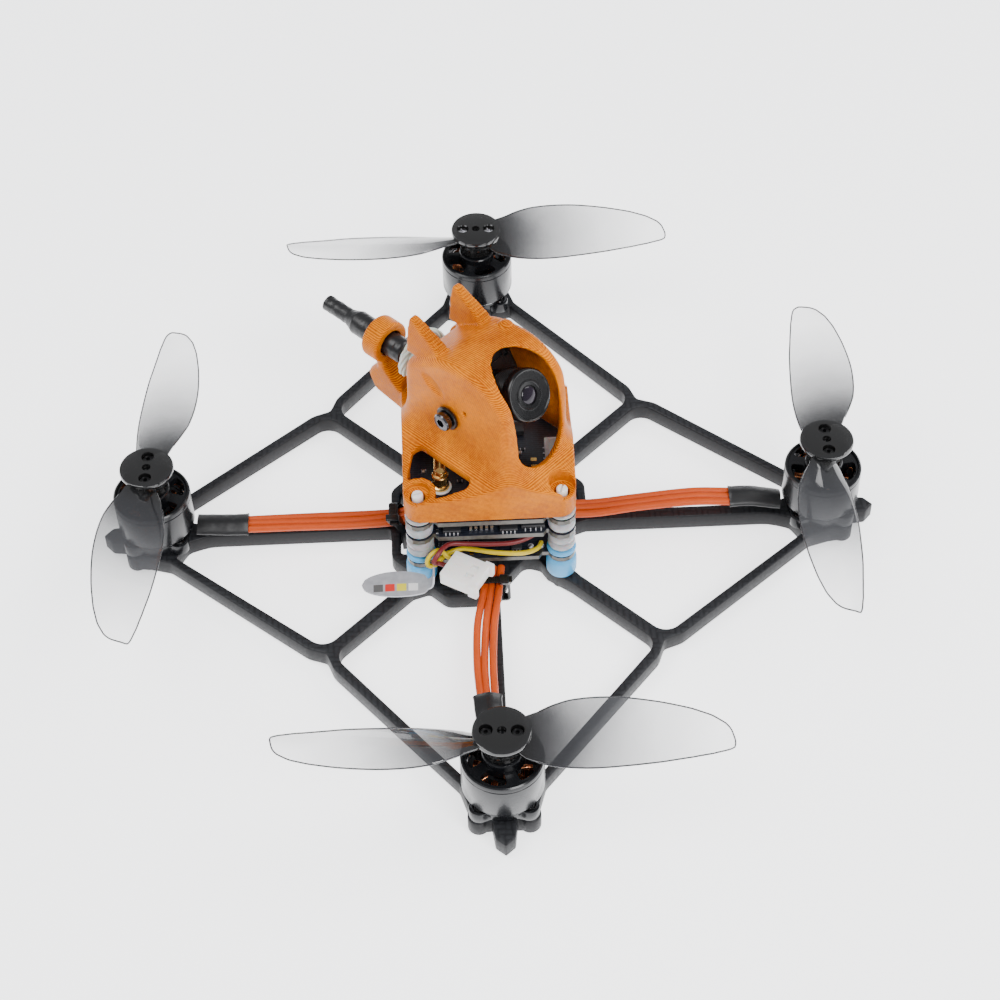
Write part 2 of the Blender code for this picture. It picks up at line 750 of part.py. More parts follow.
def fin_bm():
    """One horn: broad where it leaves the roof, thin at its rear tip."""
    sections = []
    for z, front, rear, half in ((44.5, 3.0, 12.3, 1.5), (46.6, 3.8, 12.2, 1.45), (48.6, 5.2, 12.1, 1.3),
                                 (50.6, 8.6, 12.0, 1.05), (51.8, 10.5, 11.9, 0.85), (52.2, 10.9, 11.6, 0.6)):
        sections.append([(-half, front, z), (half, front, z), (half, rear, z), (-half, rear, z)])
    return skin(sections)


def lens_opening_bm():
    """The long opening over the roof's front that the lens looks out of."""
    half_width, straight = 5.7, 5.7
    outline = arc(0, -straight, half_width, 180, 360, 30) + arc(0, straight, half_width, 0, 180, 30)
    return slab(outline, [], 0.0, 16.0)


def corner_window_bm():
    """The three-cornered window over a side corner of the shelf, drawn for starboard."""
    outline = rounded([(-16.9, -3.4, 0.4), (-12.3, -6.6, 0.8), (-10.7, -6.3, 0.9), (-10.7, 6.3, 0.9),
                       (-12.3, 6.6, 0.8), (-16.9, 3.6, 0.4)], step=45)
    outline += arc(-math.sqrt(2) * POST, 0, 3.3, 60, -60, 30)
    return slab(outline, [], 22.0, 33.0)


def canopy_cutters():
    """Everything taken out of the canopy: name, shape, place and rotation."""
    lean = math.radians(62)
    pivot = Vector(CAMERA_PIVOT) * MM
    cuts = [
        ("canopy_rear_port", prism([(10.2, 29.0), (16.5, 29.0), (16.5, 46.0), (10.2, 46.0)], 3.9),
         (0, 0, 0), (0, 0, 0)),
        ("canopy_lens_opening", lens_opening_bm(), Vector((0, -4.1, 36.9)) * MM, (lean, 0, 0)),
        ("canopy_pivot_bore", turned([(0, -12), (1.3, -12), (1.3, 12), (0, 12)], 12), pivot,
         (0, math.pi / 2, 0)),
        ("canopy_window_right", corner_window_bm(), (0, 0, 0), (0, 0, 0)),
        ("canopy_window_left", corner_window_bm(), (0, 0, 0), (0, 0, math.pi)),
    ]
    for k in range(4):
        bore = turned([(0, 19), (1.6, 19), (1.6, 24.7), (2.7, 24.7), (2.7, 30), (0, 30)], 12)
        x, y, _ = turn([(POST, POST, 0)], math.radians(90 * k))[0]
        cuts.append((f"canopy_screw_bore_{k}", bore, arm_place(x, y), (0, 0, 0)))
    return cuts


def build_canopy():
    canopy = make_object("canopy", helmet_bm(0.0), orange_print())
    skirt = make_cutter("canopy_skirt", square_prism(SKIRT_HALF, 3.2, SKIRT_BOTTOM, 60))
    boolean(canopy, skirt, "INTERSECT")
    hollow = make_cutter("canopy_hollow", helmet_bm(CANOPY_WALL))
    boolean(hollow, make_cutter("canopy_hollow_plan", inner_skirt_bm()), "INTERSECT")
    boolean(canopy, hollow, "DIFFERENCE")
    boolean(canopy, make_cutter("canopy_holder", holder_bm()), "UNION")
    for side in (-1, 1):
        boolean(canopy, make_cutter(f"canopy_fin_{side}", fin_bm(), (side * 5.4 * MM, 0, 0)), "UNION")
    on_side = (math.pi / 2, 0, 0)
    ring_place = Vector((0, RING_REACH, TUBE_HEIGHT)) * MM
    ring = turned([(0, -1.9), (4.1, -1.9), (4.1, 1.9), (0, 1.9)], 20)
    bore = turned([(0, -4), (2.7, -4), (2.7, 4), (0, 4)], 20)
    boolean(canopy, make_cutter("canopy_ring", ring, ring_place, on_side), "UNION")
    boolean(canopy, make_cutter("canopy_ring_bore", bore, ring_place, on_side), "DIFFERENCE")
    for name, bm, place, rotation in canopy_cutters():
        boolean(canopy, make_cutter(name, bm, place, rotation), "DIFFERENCE")


# --------------------------------------------------------------------- camera

def camera_pivot():
    """The camera's parts hang from an empty on the tilt axis, leaning back by the camera angle."""
    empty = bpy.data.objects.new("camera_tilt_axis", None)
    empty.location = Vector(CAMERA_PIVOT) * MM
    empty.rotation_euler = (-CAMERA_TILT, 0, 0)
    bpy.context.scene.collection.objects.link(empty)
    return empty


def build_camera():
    axis = camera_pivot()
    corners = [(x * CAMERA_HALF, z * CAMERA_HALF, 1.2) for x, z in ((1, 1), (-1, 1), (-1, -1), (1, -1))]
    body = slab(rounded(corners, step=30), [], -4.2, 4.4, 0.4, 0.4)
    body.transform(Matrix.Rotation(math.pi / 2, 4, "X"))
    camera = make_object("camera_body", body, black_plastic())
    lens = turned([
        (0.0, 4.7), (3.9, 4.7), (3.9, 8.0), (4.6, 8.3), (4.75, 8.8), (4.75, 13.3), (4.5, LENS_TIP),
        (3.9, LENS_TIP), (3.6, 13.2), (1.8, 12.5), (0.0, 12.8),
    ], 24)
    lens.transform(Matrix.Rotation(math.pi / 2, 4, "X"))
    barrel = make_object("camera_lens", lens, black_plastic())
    pieces = [camera, barrel]
    for side, name in ((-1, "right"), (1, "left")):
        screw = turned([
            (0.0, 7.0), (0.95, 7.0), (0.95, 8.5), (2.25, 8.5), (2.25, 8.9), (1.75, 8.9), (1.75, 10.2),
            (1.5, 10.4), (0.85, 10.4), (0.85, 9.4), (0.0, 9.4),
        ], 16)
        screw.transform(Matrix.Rotation(side * math.pi / 2, 4, "Y"))
        pieces.append(make_object(f"camera_screw_{name}", screw, steel()))
    for piece in pieces:
        piece.parent = axis


# -------------------------------------------------------------- video antenna

COAX_ROUTE = (
    (0.0, 19.6, 34.1), (0.0, 18.4, 34.1), (-1.4, 17.0, 33.8), (-3.6, 16.2, 34.3), (-4.7, 15.9, 36.2),
    (-3.9, 15.8, 38.8), (-1.6, 15.7, 40.7), (1.3, 15.5, 40.9), (3.7, 15.3, 39.2), (4.6, 14.9, 36.8),
    (3.9, 14.4, 34.7), (2.2, 12.8, 33.3), (0.3, 11.2, 32.2), (-1.6, 10.0, 30.2), (-3.2, 9.2, 27.2),
    (-4.0, 8.2, 24.3), (-5.05, 7.07, 22.6), (-6.85, 5.33, 22.5),
)
PLUG_PLACE = (-10.4, 1.9)


def build_antenna():
    tube = turned([(0.0, 19.9), (2.2, 19.9), (2.3, 20.2), (2.3, 32.4), (1.6, 34.2), (1.5, 39.6),
                   (1.2, 39.9), (0.0, 39.9)], 16)
    tube.transform(Matrix.Translation((0, 0, TUBE_HEIGHT)) @ Matrix.Rotation(-math.pi / 2, 4, "X"))
    make_object("antenna_tube", tube, black_plastic())
    cord("antenna_coax", COAX_ROUTE, 0.85, clear_silicone())
    plug = turned([(0.0, 19.5), (2.0, 19.5), (2.0, 20.4), (1.8, 20.7), (1.8, 23.4), (1.4, 23.9),
                   (0.0, 23.9)], 14)
    body = make_object("antenna_plug", plug, gold(), Vector((*PLUG_PLACE, 0)) * MM)
    barrel = turned([(0.0, 0.0), (1.2, 0.0), (1.2, 4.6), (0.0, 4.6)], 12)
    barrel.transform(Matrix.Rotation(math.radians(-46), 4, "Z") @ Matrix.Rotation(-math.pi / 2, 4, "X"))
    cutter = make_cutter("antenna_barrel", barrel, Vector((*PLUG_PLACE, 22.5)) * MM)
    boolean(body, cutter, "UNION")


# ------------------------------------------------------------- accessory lead

WIRE_RADIUS = 0.45
WIRE_ROUTES = {
    # from the boards at the front corner, behind the plug and round into its wire end
    "accessory_wire_yellow": ((9.1, -11.9, 10.1), (8.4, -13.5, 10.4), (6.2, -15.0, 11.0), (3.2, -15.2, 11.2),
                              (0.0, -14.4, 10.8), (-3.0, -13.2, 10.3), (-5.6, -12.8, 10.2),
                              (-8.2, -13.9, 10.1), (-10.2, -16.0, 9.9), (-11.4, -16.7, 10.4),
                              (-11.6, -16.5, 11.6), (-10.8, -15.8, 12.5), (-9.7, -15.1, 12.7),
                              (-8.8, -14.8, 11.9), (-8.2, -15.1, 11.1), (-7.34, -15.61, 10.9)),
    "accessory_wire_red": ((10.0, -4.6, 13.6), (9.9, -7.4, 13.5), (9.3, -10.2, 13.3), (7.6, -12.6, 13.0),
                           (4.2, -13.9, 12.7), (0.0, -14.1, 12.7), (-5.0, -14.0, 13.0),
                           (-7.4, -14.3, 13.4), (-8.8, -15.5, 13.6), (-9.7, -16.7, 13.3),
                           (-10.4, -17.3, 12.4), (-10.3, -16.9, 11.3), (-9.5, -16.55, 10.8),
                           (-8.5, -17.1, 10.9)),
}
CONNECTOR_PLACE = (-4.9, -19.3, 10.9)
CONNECTOR_HEADING = math.radians(-31)


def build_accessory_lead():
    """A short lead left on the front of the stack, with its plug and a paper flag."""
    colours = {"accessory_wire_yellow": (0.85, 0.7, 0.05), "accessory_wire_red": (0.75, 0.08, 0.08)}
    for name, route in WIRE_ROUTES.items():
        cord(name, arm_route(route), WIRE_RADIUS, wire_colour(name, colours[name]))
    outline = [(-3.6, -3.1), (2.4, -3.1), (2.4, -3.5), (4.2, -3.5), (4.2, -2.3), (3.4, -2.3),
               (3.4, 2.3), (4.2, 2.3), (4.2, 3.5), (2.4, 3.5), (2.4, 3.1), (-3.6, 3.1)]
    place = arm_place(*CONNECTOR_PLACE)
    spin = (0, 0, ARM_TURN + CONNECTOR_HEADING)
    make_object("accessory_connector", slab(outline, [], -1.35, 1.35), white_nylon(), place, spin, smooth=0)
    make_object("wire_flag_label", flag_bm(), wire_colour("paper_label", (0.8, 0.8, 0.8)),
                rotation=(0, 0, ARM_TURN), smooth=0)


def flag_bm():
    """An oval paper flag lying level, whose neck turns up beside the wires."""
    half_thickness = 0.2
    sections = []
    for share in (0.0, 0.05, 0.16, 0.32, 0.5, 0.68, 0.84):
        x = -23.6 + 13.2 * share
        half = 0.35 + 2.55 * math.sqrt(max(0.0, 1 - (2 * share - 1) ** 2))
        y = -18.9 - 0.3 * share
        sections.append([(x, y - half, 8.0), (x, y + half, 8.0), (x, y + half, 8.4), (x, y - half, 8.4)])
    for x, y, z, lean in ((-11.4, -19.3, 8.5, 40), (-10.8, -19.4, 9.4, 75), (-10.5, -19.5, 12.0, 85)):
        along = Vector((math.cos(math.radians(lean)), 0, math.sin(math.radians(lean))))
        normal = Vector((-along.z, 0, along.x)) * half_thickness
        across = Vector((0, 1.15, 0))
        place = Vector((x, y, z))
        sections.append([place - across - normal, place + across - normal,
                         place + across + normal, place - across + normal])
    return skin(sections)


def main():
    clear_scene()
    build_frame()
    build_motors()
    build_leads()
    build_zip_ties()
    build_boards()
    build_posts()
    build_canopy()
    build_camera()
    build_antenna()
    build_accessory_lead()


main()
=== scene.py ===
"""The racing drone's looks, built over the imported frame.

Shapes below are drawn in millimetres and turned into metres when each mesh is made. The four
arms lie at 45 degrees to the nose, so what follows an arm is drawn in an arm frame, whose X
and Y axes lie along two arms, and turned by ARM_TURN.
"""
import math
import random

import bmesh
import bpy
from mathutils import Euler, Matrix, Vector, noise


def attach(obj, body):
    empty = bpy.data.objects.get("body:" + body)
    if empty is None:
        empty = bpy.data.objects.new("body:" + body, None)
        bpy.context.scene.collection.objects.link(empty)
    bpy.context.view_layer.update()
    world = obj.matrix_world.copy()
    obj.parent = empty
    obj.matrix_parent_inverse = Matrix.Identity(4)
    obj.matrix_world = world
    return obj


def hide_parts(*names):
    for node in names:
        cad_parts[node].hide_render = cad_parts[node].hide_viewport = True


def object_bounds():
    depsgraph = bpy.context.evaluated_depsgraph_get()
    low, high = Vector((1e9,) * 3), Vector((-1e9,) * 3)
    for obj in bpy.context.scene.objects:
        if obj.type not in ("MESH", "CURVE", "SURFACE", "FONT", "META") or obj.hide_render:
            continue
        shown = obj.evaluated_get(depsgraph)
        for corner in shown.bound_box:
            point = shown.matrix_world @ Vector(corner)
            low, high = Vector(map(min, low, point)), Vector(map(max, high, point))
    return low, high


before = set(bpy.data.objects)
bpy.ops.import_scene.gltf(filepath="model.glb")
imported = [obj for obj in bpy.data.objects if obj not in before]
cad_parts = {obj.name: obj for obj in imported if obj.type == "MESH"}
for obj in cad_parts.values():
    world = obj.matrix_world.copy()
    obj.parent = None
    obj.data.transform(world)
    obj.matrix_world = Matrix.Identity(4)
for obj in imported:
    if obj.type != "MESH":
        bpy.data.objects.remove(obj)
CAD_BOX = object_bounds()

MM = 0.001
TAU = 2 * math.pi
ARM_TURN = math.radians(-45)
AIRFRAME = "airframe"
CUT, JOIN, KEEP = "DIFFERENCE", "UNION", "INTERSECT"
UNMOVED = Matrix.Identity(4)
HALF_TURN = Matrix.Rotation(math.pi, 4, "Z")

MOTOR_REACH = 61.8
PLATE_TOP = 3.5
POST = 12.75
PROP_RADIUS = 38.1
TUBE_HEIGHT = 34.1
RING_REACH = 25.4
CAMERA_PIVOT = Vector((0.0, 1.1, 36.6))
CAMERA_TILT = math.radians(31)
WIRE_DIAMETER = 0.9

YARNS_PER_METRE = 900
# The flag's colour blocks, in the arm frame
BLOCKS_START = -21.5
BLOCKS_LENGTH = 8.4
BLOCKS_MIDDLE = -19.9
BLOCKS_HALF = 0.85

# Corner name, motor angle in the arm frame, turning sense and blade heading
CORNERS = (
    ("front_left", 0, -1, 90.6),
    ("rear_left", 90, 1, -1.4),
    ("rear_right", 180, -1, 87.8),
    ("front_right", 270, 1, -4.0),
)
POST_NAMES = ("left", "rear", "right", "front")


# ------------------------------------------------------------------ materials

def new_material(name, colour, roughness, metallic=0.0, **sockets):
    mat = bpy.data.materials.new(name)
    mat.use_nodes = True
    shader = mat.node_tree.nodes["Principled BSDF"]
    shader.inputs["Base Color"].default_value = (*colour, 1.0)
    shader.inputs["Roughness"].default_value = roughness
    shader.inputs["Metallic"].default_value = metallic
    for socket, value in sockets.items():
        shader.inputs[socket.replace("_", " ")].default_value = value
    return mat, shader


def add(mat, kind, **settings):
    """Add a node: keys that start with an underscore are its properties, others its inputs."""
    node = mat.node_tree.nodes.new(f"ShaderNode{kind}")
    for key, value in settings.items():
        if key.startswith("_"):
            setattr(node, key[1:], value)
        else:
            node.inputs[key.replace("_", " ")].default_value = value
    return node


def link(mat, source, target):
    mat.node_tree.links.new(source, target)


def calc(mat, operation, first, second=None):
    node = add(mat, "Math", _operation=operation)
    for slot, value in enumerate((first, second)):
        if isinstance(value, (int, float)):
            node.inputs[slot].default_value = value
        elif value is not None:
            link(mat, value, node.inputs[slot])
    return node.outputs[0]


def weighted(mat, *shares):
    """The sum of (value, weight) shares."""
    parts = [calc(mat, "MULTIPLY", value, weight) for value, weight in shares]
    total = parts[0]
    for part in parts[1:]:
        total = calc(mat, "ADD", total, part)
    return total


def ramp(mat, factor, stops, interpolation="LINEAR"):
    node = add(mat, "ValToRGB")
    node.color_ramp.interpolation = interpolation
    while len(node.color_ramp.elements) < len(stops):
        node.color_ramp.elements.new(0.5)
    for element, (place, colour) in zip(node.color_ramp.elements, stops):
        element.position = place
        element.color = (*colour, 1.0)
    link(mat, factor, node.inputs["Fac"])
    return node.outputs["Color"]


def blend(mat, factor, first, second, kind="RGBA", mode="MIX"):
    """Two colours, or two numbers with kind FLOAT, mixed by a factor."""
    node = add(mat, "Mix", _data_type=kind, _blend_type=mode)
    if isinstance(factor, float):
        node.inputs[0].default_value = factor
    else:
        link(mat, factor, node.inputs[0])
    slot, result = (6, 2) if kind == "RGBA" else (2, 0)
    link(mat, first, node.inputs[slot])
    link(mat, second, node.inputs[slot + 1])
    return node.outputs[result]


def grey(value):
    return (value, value, value)


def object_coords(mat):
    return add(mat, "TexCoord").outputs["Object"]


def textured(mat, kind, coords, **settings):
    node = add(mat, kind, **settings)
    link(mat, coords, node.inputs["Vector"])
    return node.outputs["Fac"]


def banded(mat, coords, axis, **settings):
    return textured(mat, "TexWave", coords, _wave_type="BANDS", _bands_direction=axis, _wave_profile="SIN",
                    **settings)


def split(mat, vector):
    node = add(mat, "SeparateXYZ")
    link(mat, vector, node.inputs["Vector"])
    return node.outputs


def levelness(mat):
    """1 on level faces and 0 on upright ones."""
    return calc(mat, "ABSOLUTE", split(mat, add(mat, "NewGeometry").outputs["Normal"])["Z"])


def bumped(mat, shader, height, strength, distance):
    bump = add(mat, "Bump", Strength=strength, Distance=distance)
    link(mat, height, bump.inputs["Height"])
    link(mat, bump.outputs["Normal"], shader.inputs["Normal"])


def grained(name, colour, roughness, metallic=0.0, grain=2500, tint=0.12, spread=0.08,
            bump=0.15, distance=0.00003, **sockets):
    """A surface whose tone, gloss and height vary a little, at two scales."""
    mat, shader = new_material(name, colour, roughness, metallic, **sockets)
    coords = object_coords(mat)
    fine = textured(mat, "TexNoise", coords, Scale=grain, Detail=4.0, Roughness=0.6)
    broad = textured(mat, "TexNoise", coords, Scale=grain / 14, Detail=3.0, Roughness=0.55)
    dark = tuple(c * (1 - tint) for c in colour)
    light = tuple(min(1.0, c * (1 + tint)) for c in colour)
    mixed = weighted(mat, (broad, 0.55), (fine, 0.45))
    link(mat, ramp(mat, mixed, ((0.3, dark), (0.7, light))), shader.inputs["Base Color"])
    rough = ramp(mat, broad, ((0.3, grey(max(0.02, roughness - spread))),
                              (0.7, grey(min(1.0, roughness + spread)))))
    link(mat, rough, shader.inputs["Roughness"])
    bumped(mat, shader, fine, bump, distance)
    return mat


def carbon_material():
    """Twill weave on the flat faces and stacked plies on the cut edges; the cut edges are also painted darker
    than the faces, as painted shade on the sides.
    """
    mat, shader = new_material("carbon_weave", (0.015, 0.016, 0.018), 0.42, Specular_IOR_Level=0.22)
    coords = object_coords(mat)
    yarns = add(mat, "Mapping", Rotation=(0, 0, -ARM_TURN), Scale=(YARNS_PER_METRE,) * 3)
    link(mat, coords, yarns.inputs["Vector"])
    u, v, w = split(mat, yarns.outputs["Vector"])
    cell = calc(mat, "ADD", calc(mat, "FLOOR", u), calc(mat, "FLOOR", v))
    warp = calc(mat, "LESS_THAN", calc(mat, "FRACT", calc(mat, "MULTIPLY", cell, 0.25)), 0.4)
    across_u, across_v = [calc(mat, "SINE", calc(mat, "MULTIPLY", calc(mat, "FRACT", axis), math.pi))
                          for axis in (u, v)]
    weave = blend(mat, warp, across_u, across_v, "FLOAT")
    fine = textured(mat, "TexNoise", coords, Scale=1800.0, Detail=5.0)
    flat = calc(mat, "GREATER_THAN", levelness(mat), 0.6)
    plies = calc(mat, "SINE", calc(mat, "MULTIPLY", w, 28.0))
    face = ramp(mat, weave, ((0.0, (0.010, 0.0105, 0.012)), (0.9, (0.021, 0.022, 0.025))))
    wear = ramp(mat, fine, ((0.3, grey(0.55)), (0.7, grey(1.0))))
    # Plies on the cut edges, darker than the faces: partly their own colour, partly painted shade on the
    # plate's sides.
    edge = ramp(mat, plies, ((0.0, (0.004, 0.004, 0.005)), (1.0, (0.010, 0.010, 0.012))))
    worn = blend(mat, 0.35, face, wear, mode="MULTIPLY")
    link(mat, blend(mat, flat, edge, worn), shader.inputs["Base Color"])
    link(mat, ramp(mat, fine, ((0.3, grey(0.36)), (0.7, grey(0.5)))), shader.inputs["Roughness"])
    bumped(mat, shader, calc(mat, "ADD", calc(mat, "MULTIPLY", weave, flat), fine), 0.25, 0.00004)
    return mat


def print_material():
    """Translucent orange print: layer lines up the walls, infill lines on level faces."""
    mat, shader = new_material("orange_print_layers", (0.52, 0.115, 0.0), 0.38, IOR=1.45,
                               Subsurface_Weight=0.12, Subsurface_Scale=0.002, Specular_IOR_Level=0.3,
                               Specular_Tint=(1.0, 0.50, 0.06, 1.0), Subsurface_Radius=(1.0, 0.32, 0.05))
    coords = object_coords(mat)
    lines = banded(mat, coords, "Z", Scale=1000.0, Distortion=0.35, Detail=1.0, Detail_Scale=2.0)
    infill = banded(mat, coords, "X", Scale=800.0, Distortion=0.5, Detail=1.0, Detail_Scale=2.0)
    level = ramp(mat, levelness(mat), ((0.80, grey(0)), (0.95, grey(1))))
    layers = blend(mat, level, lines, infill, "FLOAT")
    pits = textured(mat, "TexNoise", coords, Scale=1500.0, Detail=3.0, Roughness=0.7)
    blotch = textured(mat, "TexNoise", coords, Scale=150.0, Detail=3.0)
    tone = weighted(mat, (layers, 0.35), (blotch, 0.45), (pits, 0.45))
    shade = ramp(mat, tone, ((0.38, (0.26, 0.040, 0.0)), (0.60, (0.47, 0.110, 0.0)),
                             (0.86, (0.76, 0.23, 0.0))))
    link(mat, shade, shader.inputs["Base Color"])
    link(mat, ramp(mat, pits, ((0.3, grey(0.28)), (0.7, grey(0.52)))), shader.inputs["Roughness"])
    bumped(mat, shader, weighted(mat, (layers, 1.0), (pits, 0.8)), 0.55, 0.00007)
    return mat


def blade_material():
    """Clear smoke blades: darker and denser towards the hub, nearly clear at the tips."""
    mat, shader = new_material("smoke_blade", (0.8, 0.8, 0.82), 0.04, IOR=1.5, Coat_Weight=0.3,
                               Coat_Roughness=0.03, Specular_IOR_Level=0.6)
    coords = object_coords(mat)
    length = add(mat, "VectorMath", _operation="LENGTH")
    flat = add(mat, "VectorMath", _operation="MULTIPLY")
    flat.inputs[1].default_value = (1.0, 1.0, 0.0)
    link(mat, coords, flat.inputs[0])
    link(mat, flat.outputs["Vector"], length.inputs[0])
    streak = textured(mat, "TexNoise", coords, Scale=90.0, Detail=3.0)
    out = weighted(mat, (length.outputs["Value"], 1000 / PROP_RADIUS), (streak, 0.12))
    tint = ramp(mat, out, ((0.16, grey(0.008)), (0.34, (0.030, 0.031, 0.035)), (0.65, (0.10, 0.102, 0.11)),
                           (1.05, (0.30, 0.30, 0.31))))
    link(mat, tint, shader.inputs["Base Color"])
    dense = ramp(mat, out, ((0.14, grey(0.98)), (0.26, grey(0.86)), (0.44, grey(0.52)), (0.72, grey(0.25)),
                            (1.08, grey(0.10))))
    edge = calc(mat, "MULTIPLY", add(mat, "LayerWeight", Blend=0.35).outputs["Facing"], 0.55)
    link(mat, calc(mat, "MAXIMUM", dense, edge), shader.inputs["Alpha"])
    fine = textured(mat, "TexNoise", coords, Scale=700.0, Detail=2.0)
    link(mat, ramp(mat, fine, ((0.3, grey(0.03)), (0.7, grey(0.09)))), shader.inputs["Roughness"])
    return mat


def winding_material():
    """Enamelled wire laid side by side round each tooth, its colour darker between the turns: painted shade
    in the grooves between wires.
    """
    mat, shader = new_material("enamelled_copper", (0.78, 0.30, 0.13), 0.28, 1.0)
    turns = banded(mat, object_coords(mat), "Z", Scale=900.0, Distortion=1.5, Detail=1.0)
    # The dark end of the ramp falls between the turns: painted shade in the grooves between wires.
    colour = ramp(mat, turns, ((0.1, (0.25, 0.07, 0.03)), (0.6, (0.86, 0.36, 0.17))))
    link(mat, colour, shader.inputs["Base Color"])
    bumped(mat, shader, turns, 0.6, 0.0001)
    return mat


def board_material():
    """Black solder mask with faint tracks under it, and bare laminate on the cut edges."""
    mat, shader = new_material("solder_mask", (0.010, 0.012, 0.016), 0.32, Coat_Weight=0.25,
                               Coat_Roughness=0.2)
    coords = object_coords(mat)
    lined_up = add(mat, "Mapping", Rotation=(0, 0, -ARM_TURN))
    link(mat, coords, lined_up.inputs["Vector"])
    tracks = textured(mat, "TexBrick", lined_up.outputs["Vector"], Scale=430.0, Mortar_Size=0.06, Bias=-0.2,
                      Brick_Width=0.9, Row_Height=0.22)
    fine = textured(mat, "TexNoise", coords, Scale=1200.0, Detail=3.0)
    mixed = weighted(mat, (tracks, 0.5), (fine, 0.5))
    mask = ramp(mat, mixed, ((0.2, (0.006, 0.007, 0.012)), (0.8, (0.020, 0.024, 0.036))))
    face = calc(mat, "GREATER_THAN", levelness(mat), 0.5)
    cut_edge = ramp(mat, fine, ((0.3, (0.045, 0.041, 0.033)), (0.7, (0.085, 0.078, 0.064))))
    link(mat, blend(mat, face, cut_edge, mask), shader.inputs["Base Color"])
    bumped(mat, shader, tracks, 0.2, 0.00003)
    return mat


def label_material():
    """Silver paper flag with a row of plain colour blocks along its middle."""
    mat, shader = new_material("paper_flag", (0.75, 0.76, 0.78), 0.4, 0.35)
    coords = object_coords(mat)
    lined_up = add(mat, "Mapping", _vector_type="TEXTURE", Rotation=(0, 0, ARM_TURN))
    link(mat, coords, lined_up.inputs["Vector"])
    x, y, _ = split(mat, lined_up.outputs["Vector"])
    along = calc(mat, "MULTIPLY", calc(mat, "ADD", x, -BLOCKS_START * MM), 1000 / BLOCKS_LENGTH)
    paper = textured(mat, "TexNoise", coords, Scale=900.0, Detail=4.0)
    sheet = ramp(mat, paper, ((0.3, (0.36, 0.37, 0.40)), (0.7, (0.46, 0.47, 0.50))))
    blocks = ramp(mat, along, ((0.0, grey(0.12)), (0.25, (0.75, 0.04, 0.03)), (0.5, (0.85, 0.75, 0.05)),
                               (0.75, grey(0.92))), "CONSTANT")
    inside = calc(mat, "MULTIPLY", calc(mat, "GREATER_THAN", along, 0.0), calc(mat, "LESS_THAN", along, 1.0))
    gap = calc(mat, "LESS_THAN", calc(mat, "FRACT", calc(mat, "MULTIPLY", along, 4.0)), 0.82)
    off_middle = calc(mat, "ABSOLUTE", calc(mat, "ADD", y, -BLOCKS_MIDDLE * MM))
    band = calc(mat, "LESS_THAN", off_middle, BLOCKS_HALF * MM)
    marked = calc(mat, "MULTIPLY", calc(mat, "MULTIPLY", inside, gap), band)
    link(mat, blend(mat, marked, sheet, blocks), shader.inputs["Base Color"])
    bumped(mat, shader, paper, 0.2, 0.00003)
    return mat


def glass_material():
    """The coated front element of the lens: dark glass whose base colour turns lighter and more purple
    towards grazing angles, a painted reflection of the coating.
    """
    mat, shader = new_material("lens_glass", (0.02, 0.02, 0.03), 0.08, Coat_Weight=0.12, Coat_Roughness=0.05,
                               Specular_IOR_Level=0.3)
    facing = add(mat, "LayerWeight", Blend=0.4).outputs["Facing"]
    # Lighter and purple towards grazing angles: painted reflection of the lens coating.
    tint = ramp(mat, facing, ((0.0, (0.006, 0.005, 0.008)), (0.5, (0.016, 0.009, 0.02)),
                              (1.0, (0.05, 0.03, 0.05))))
    link(mat, tint, shader.inputs["Base Color"])
    return mat


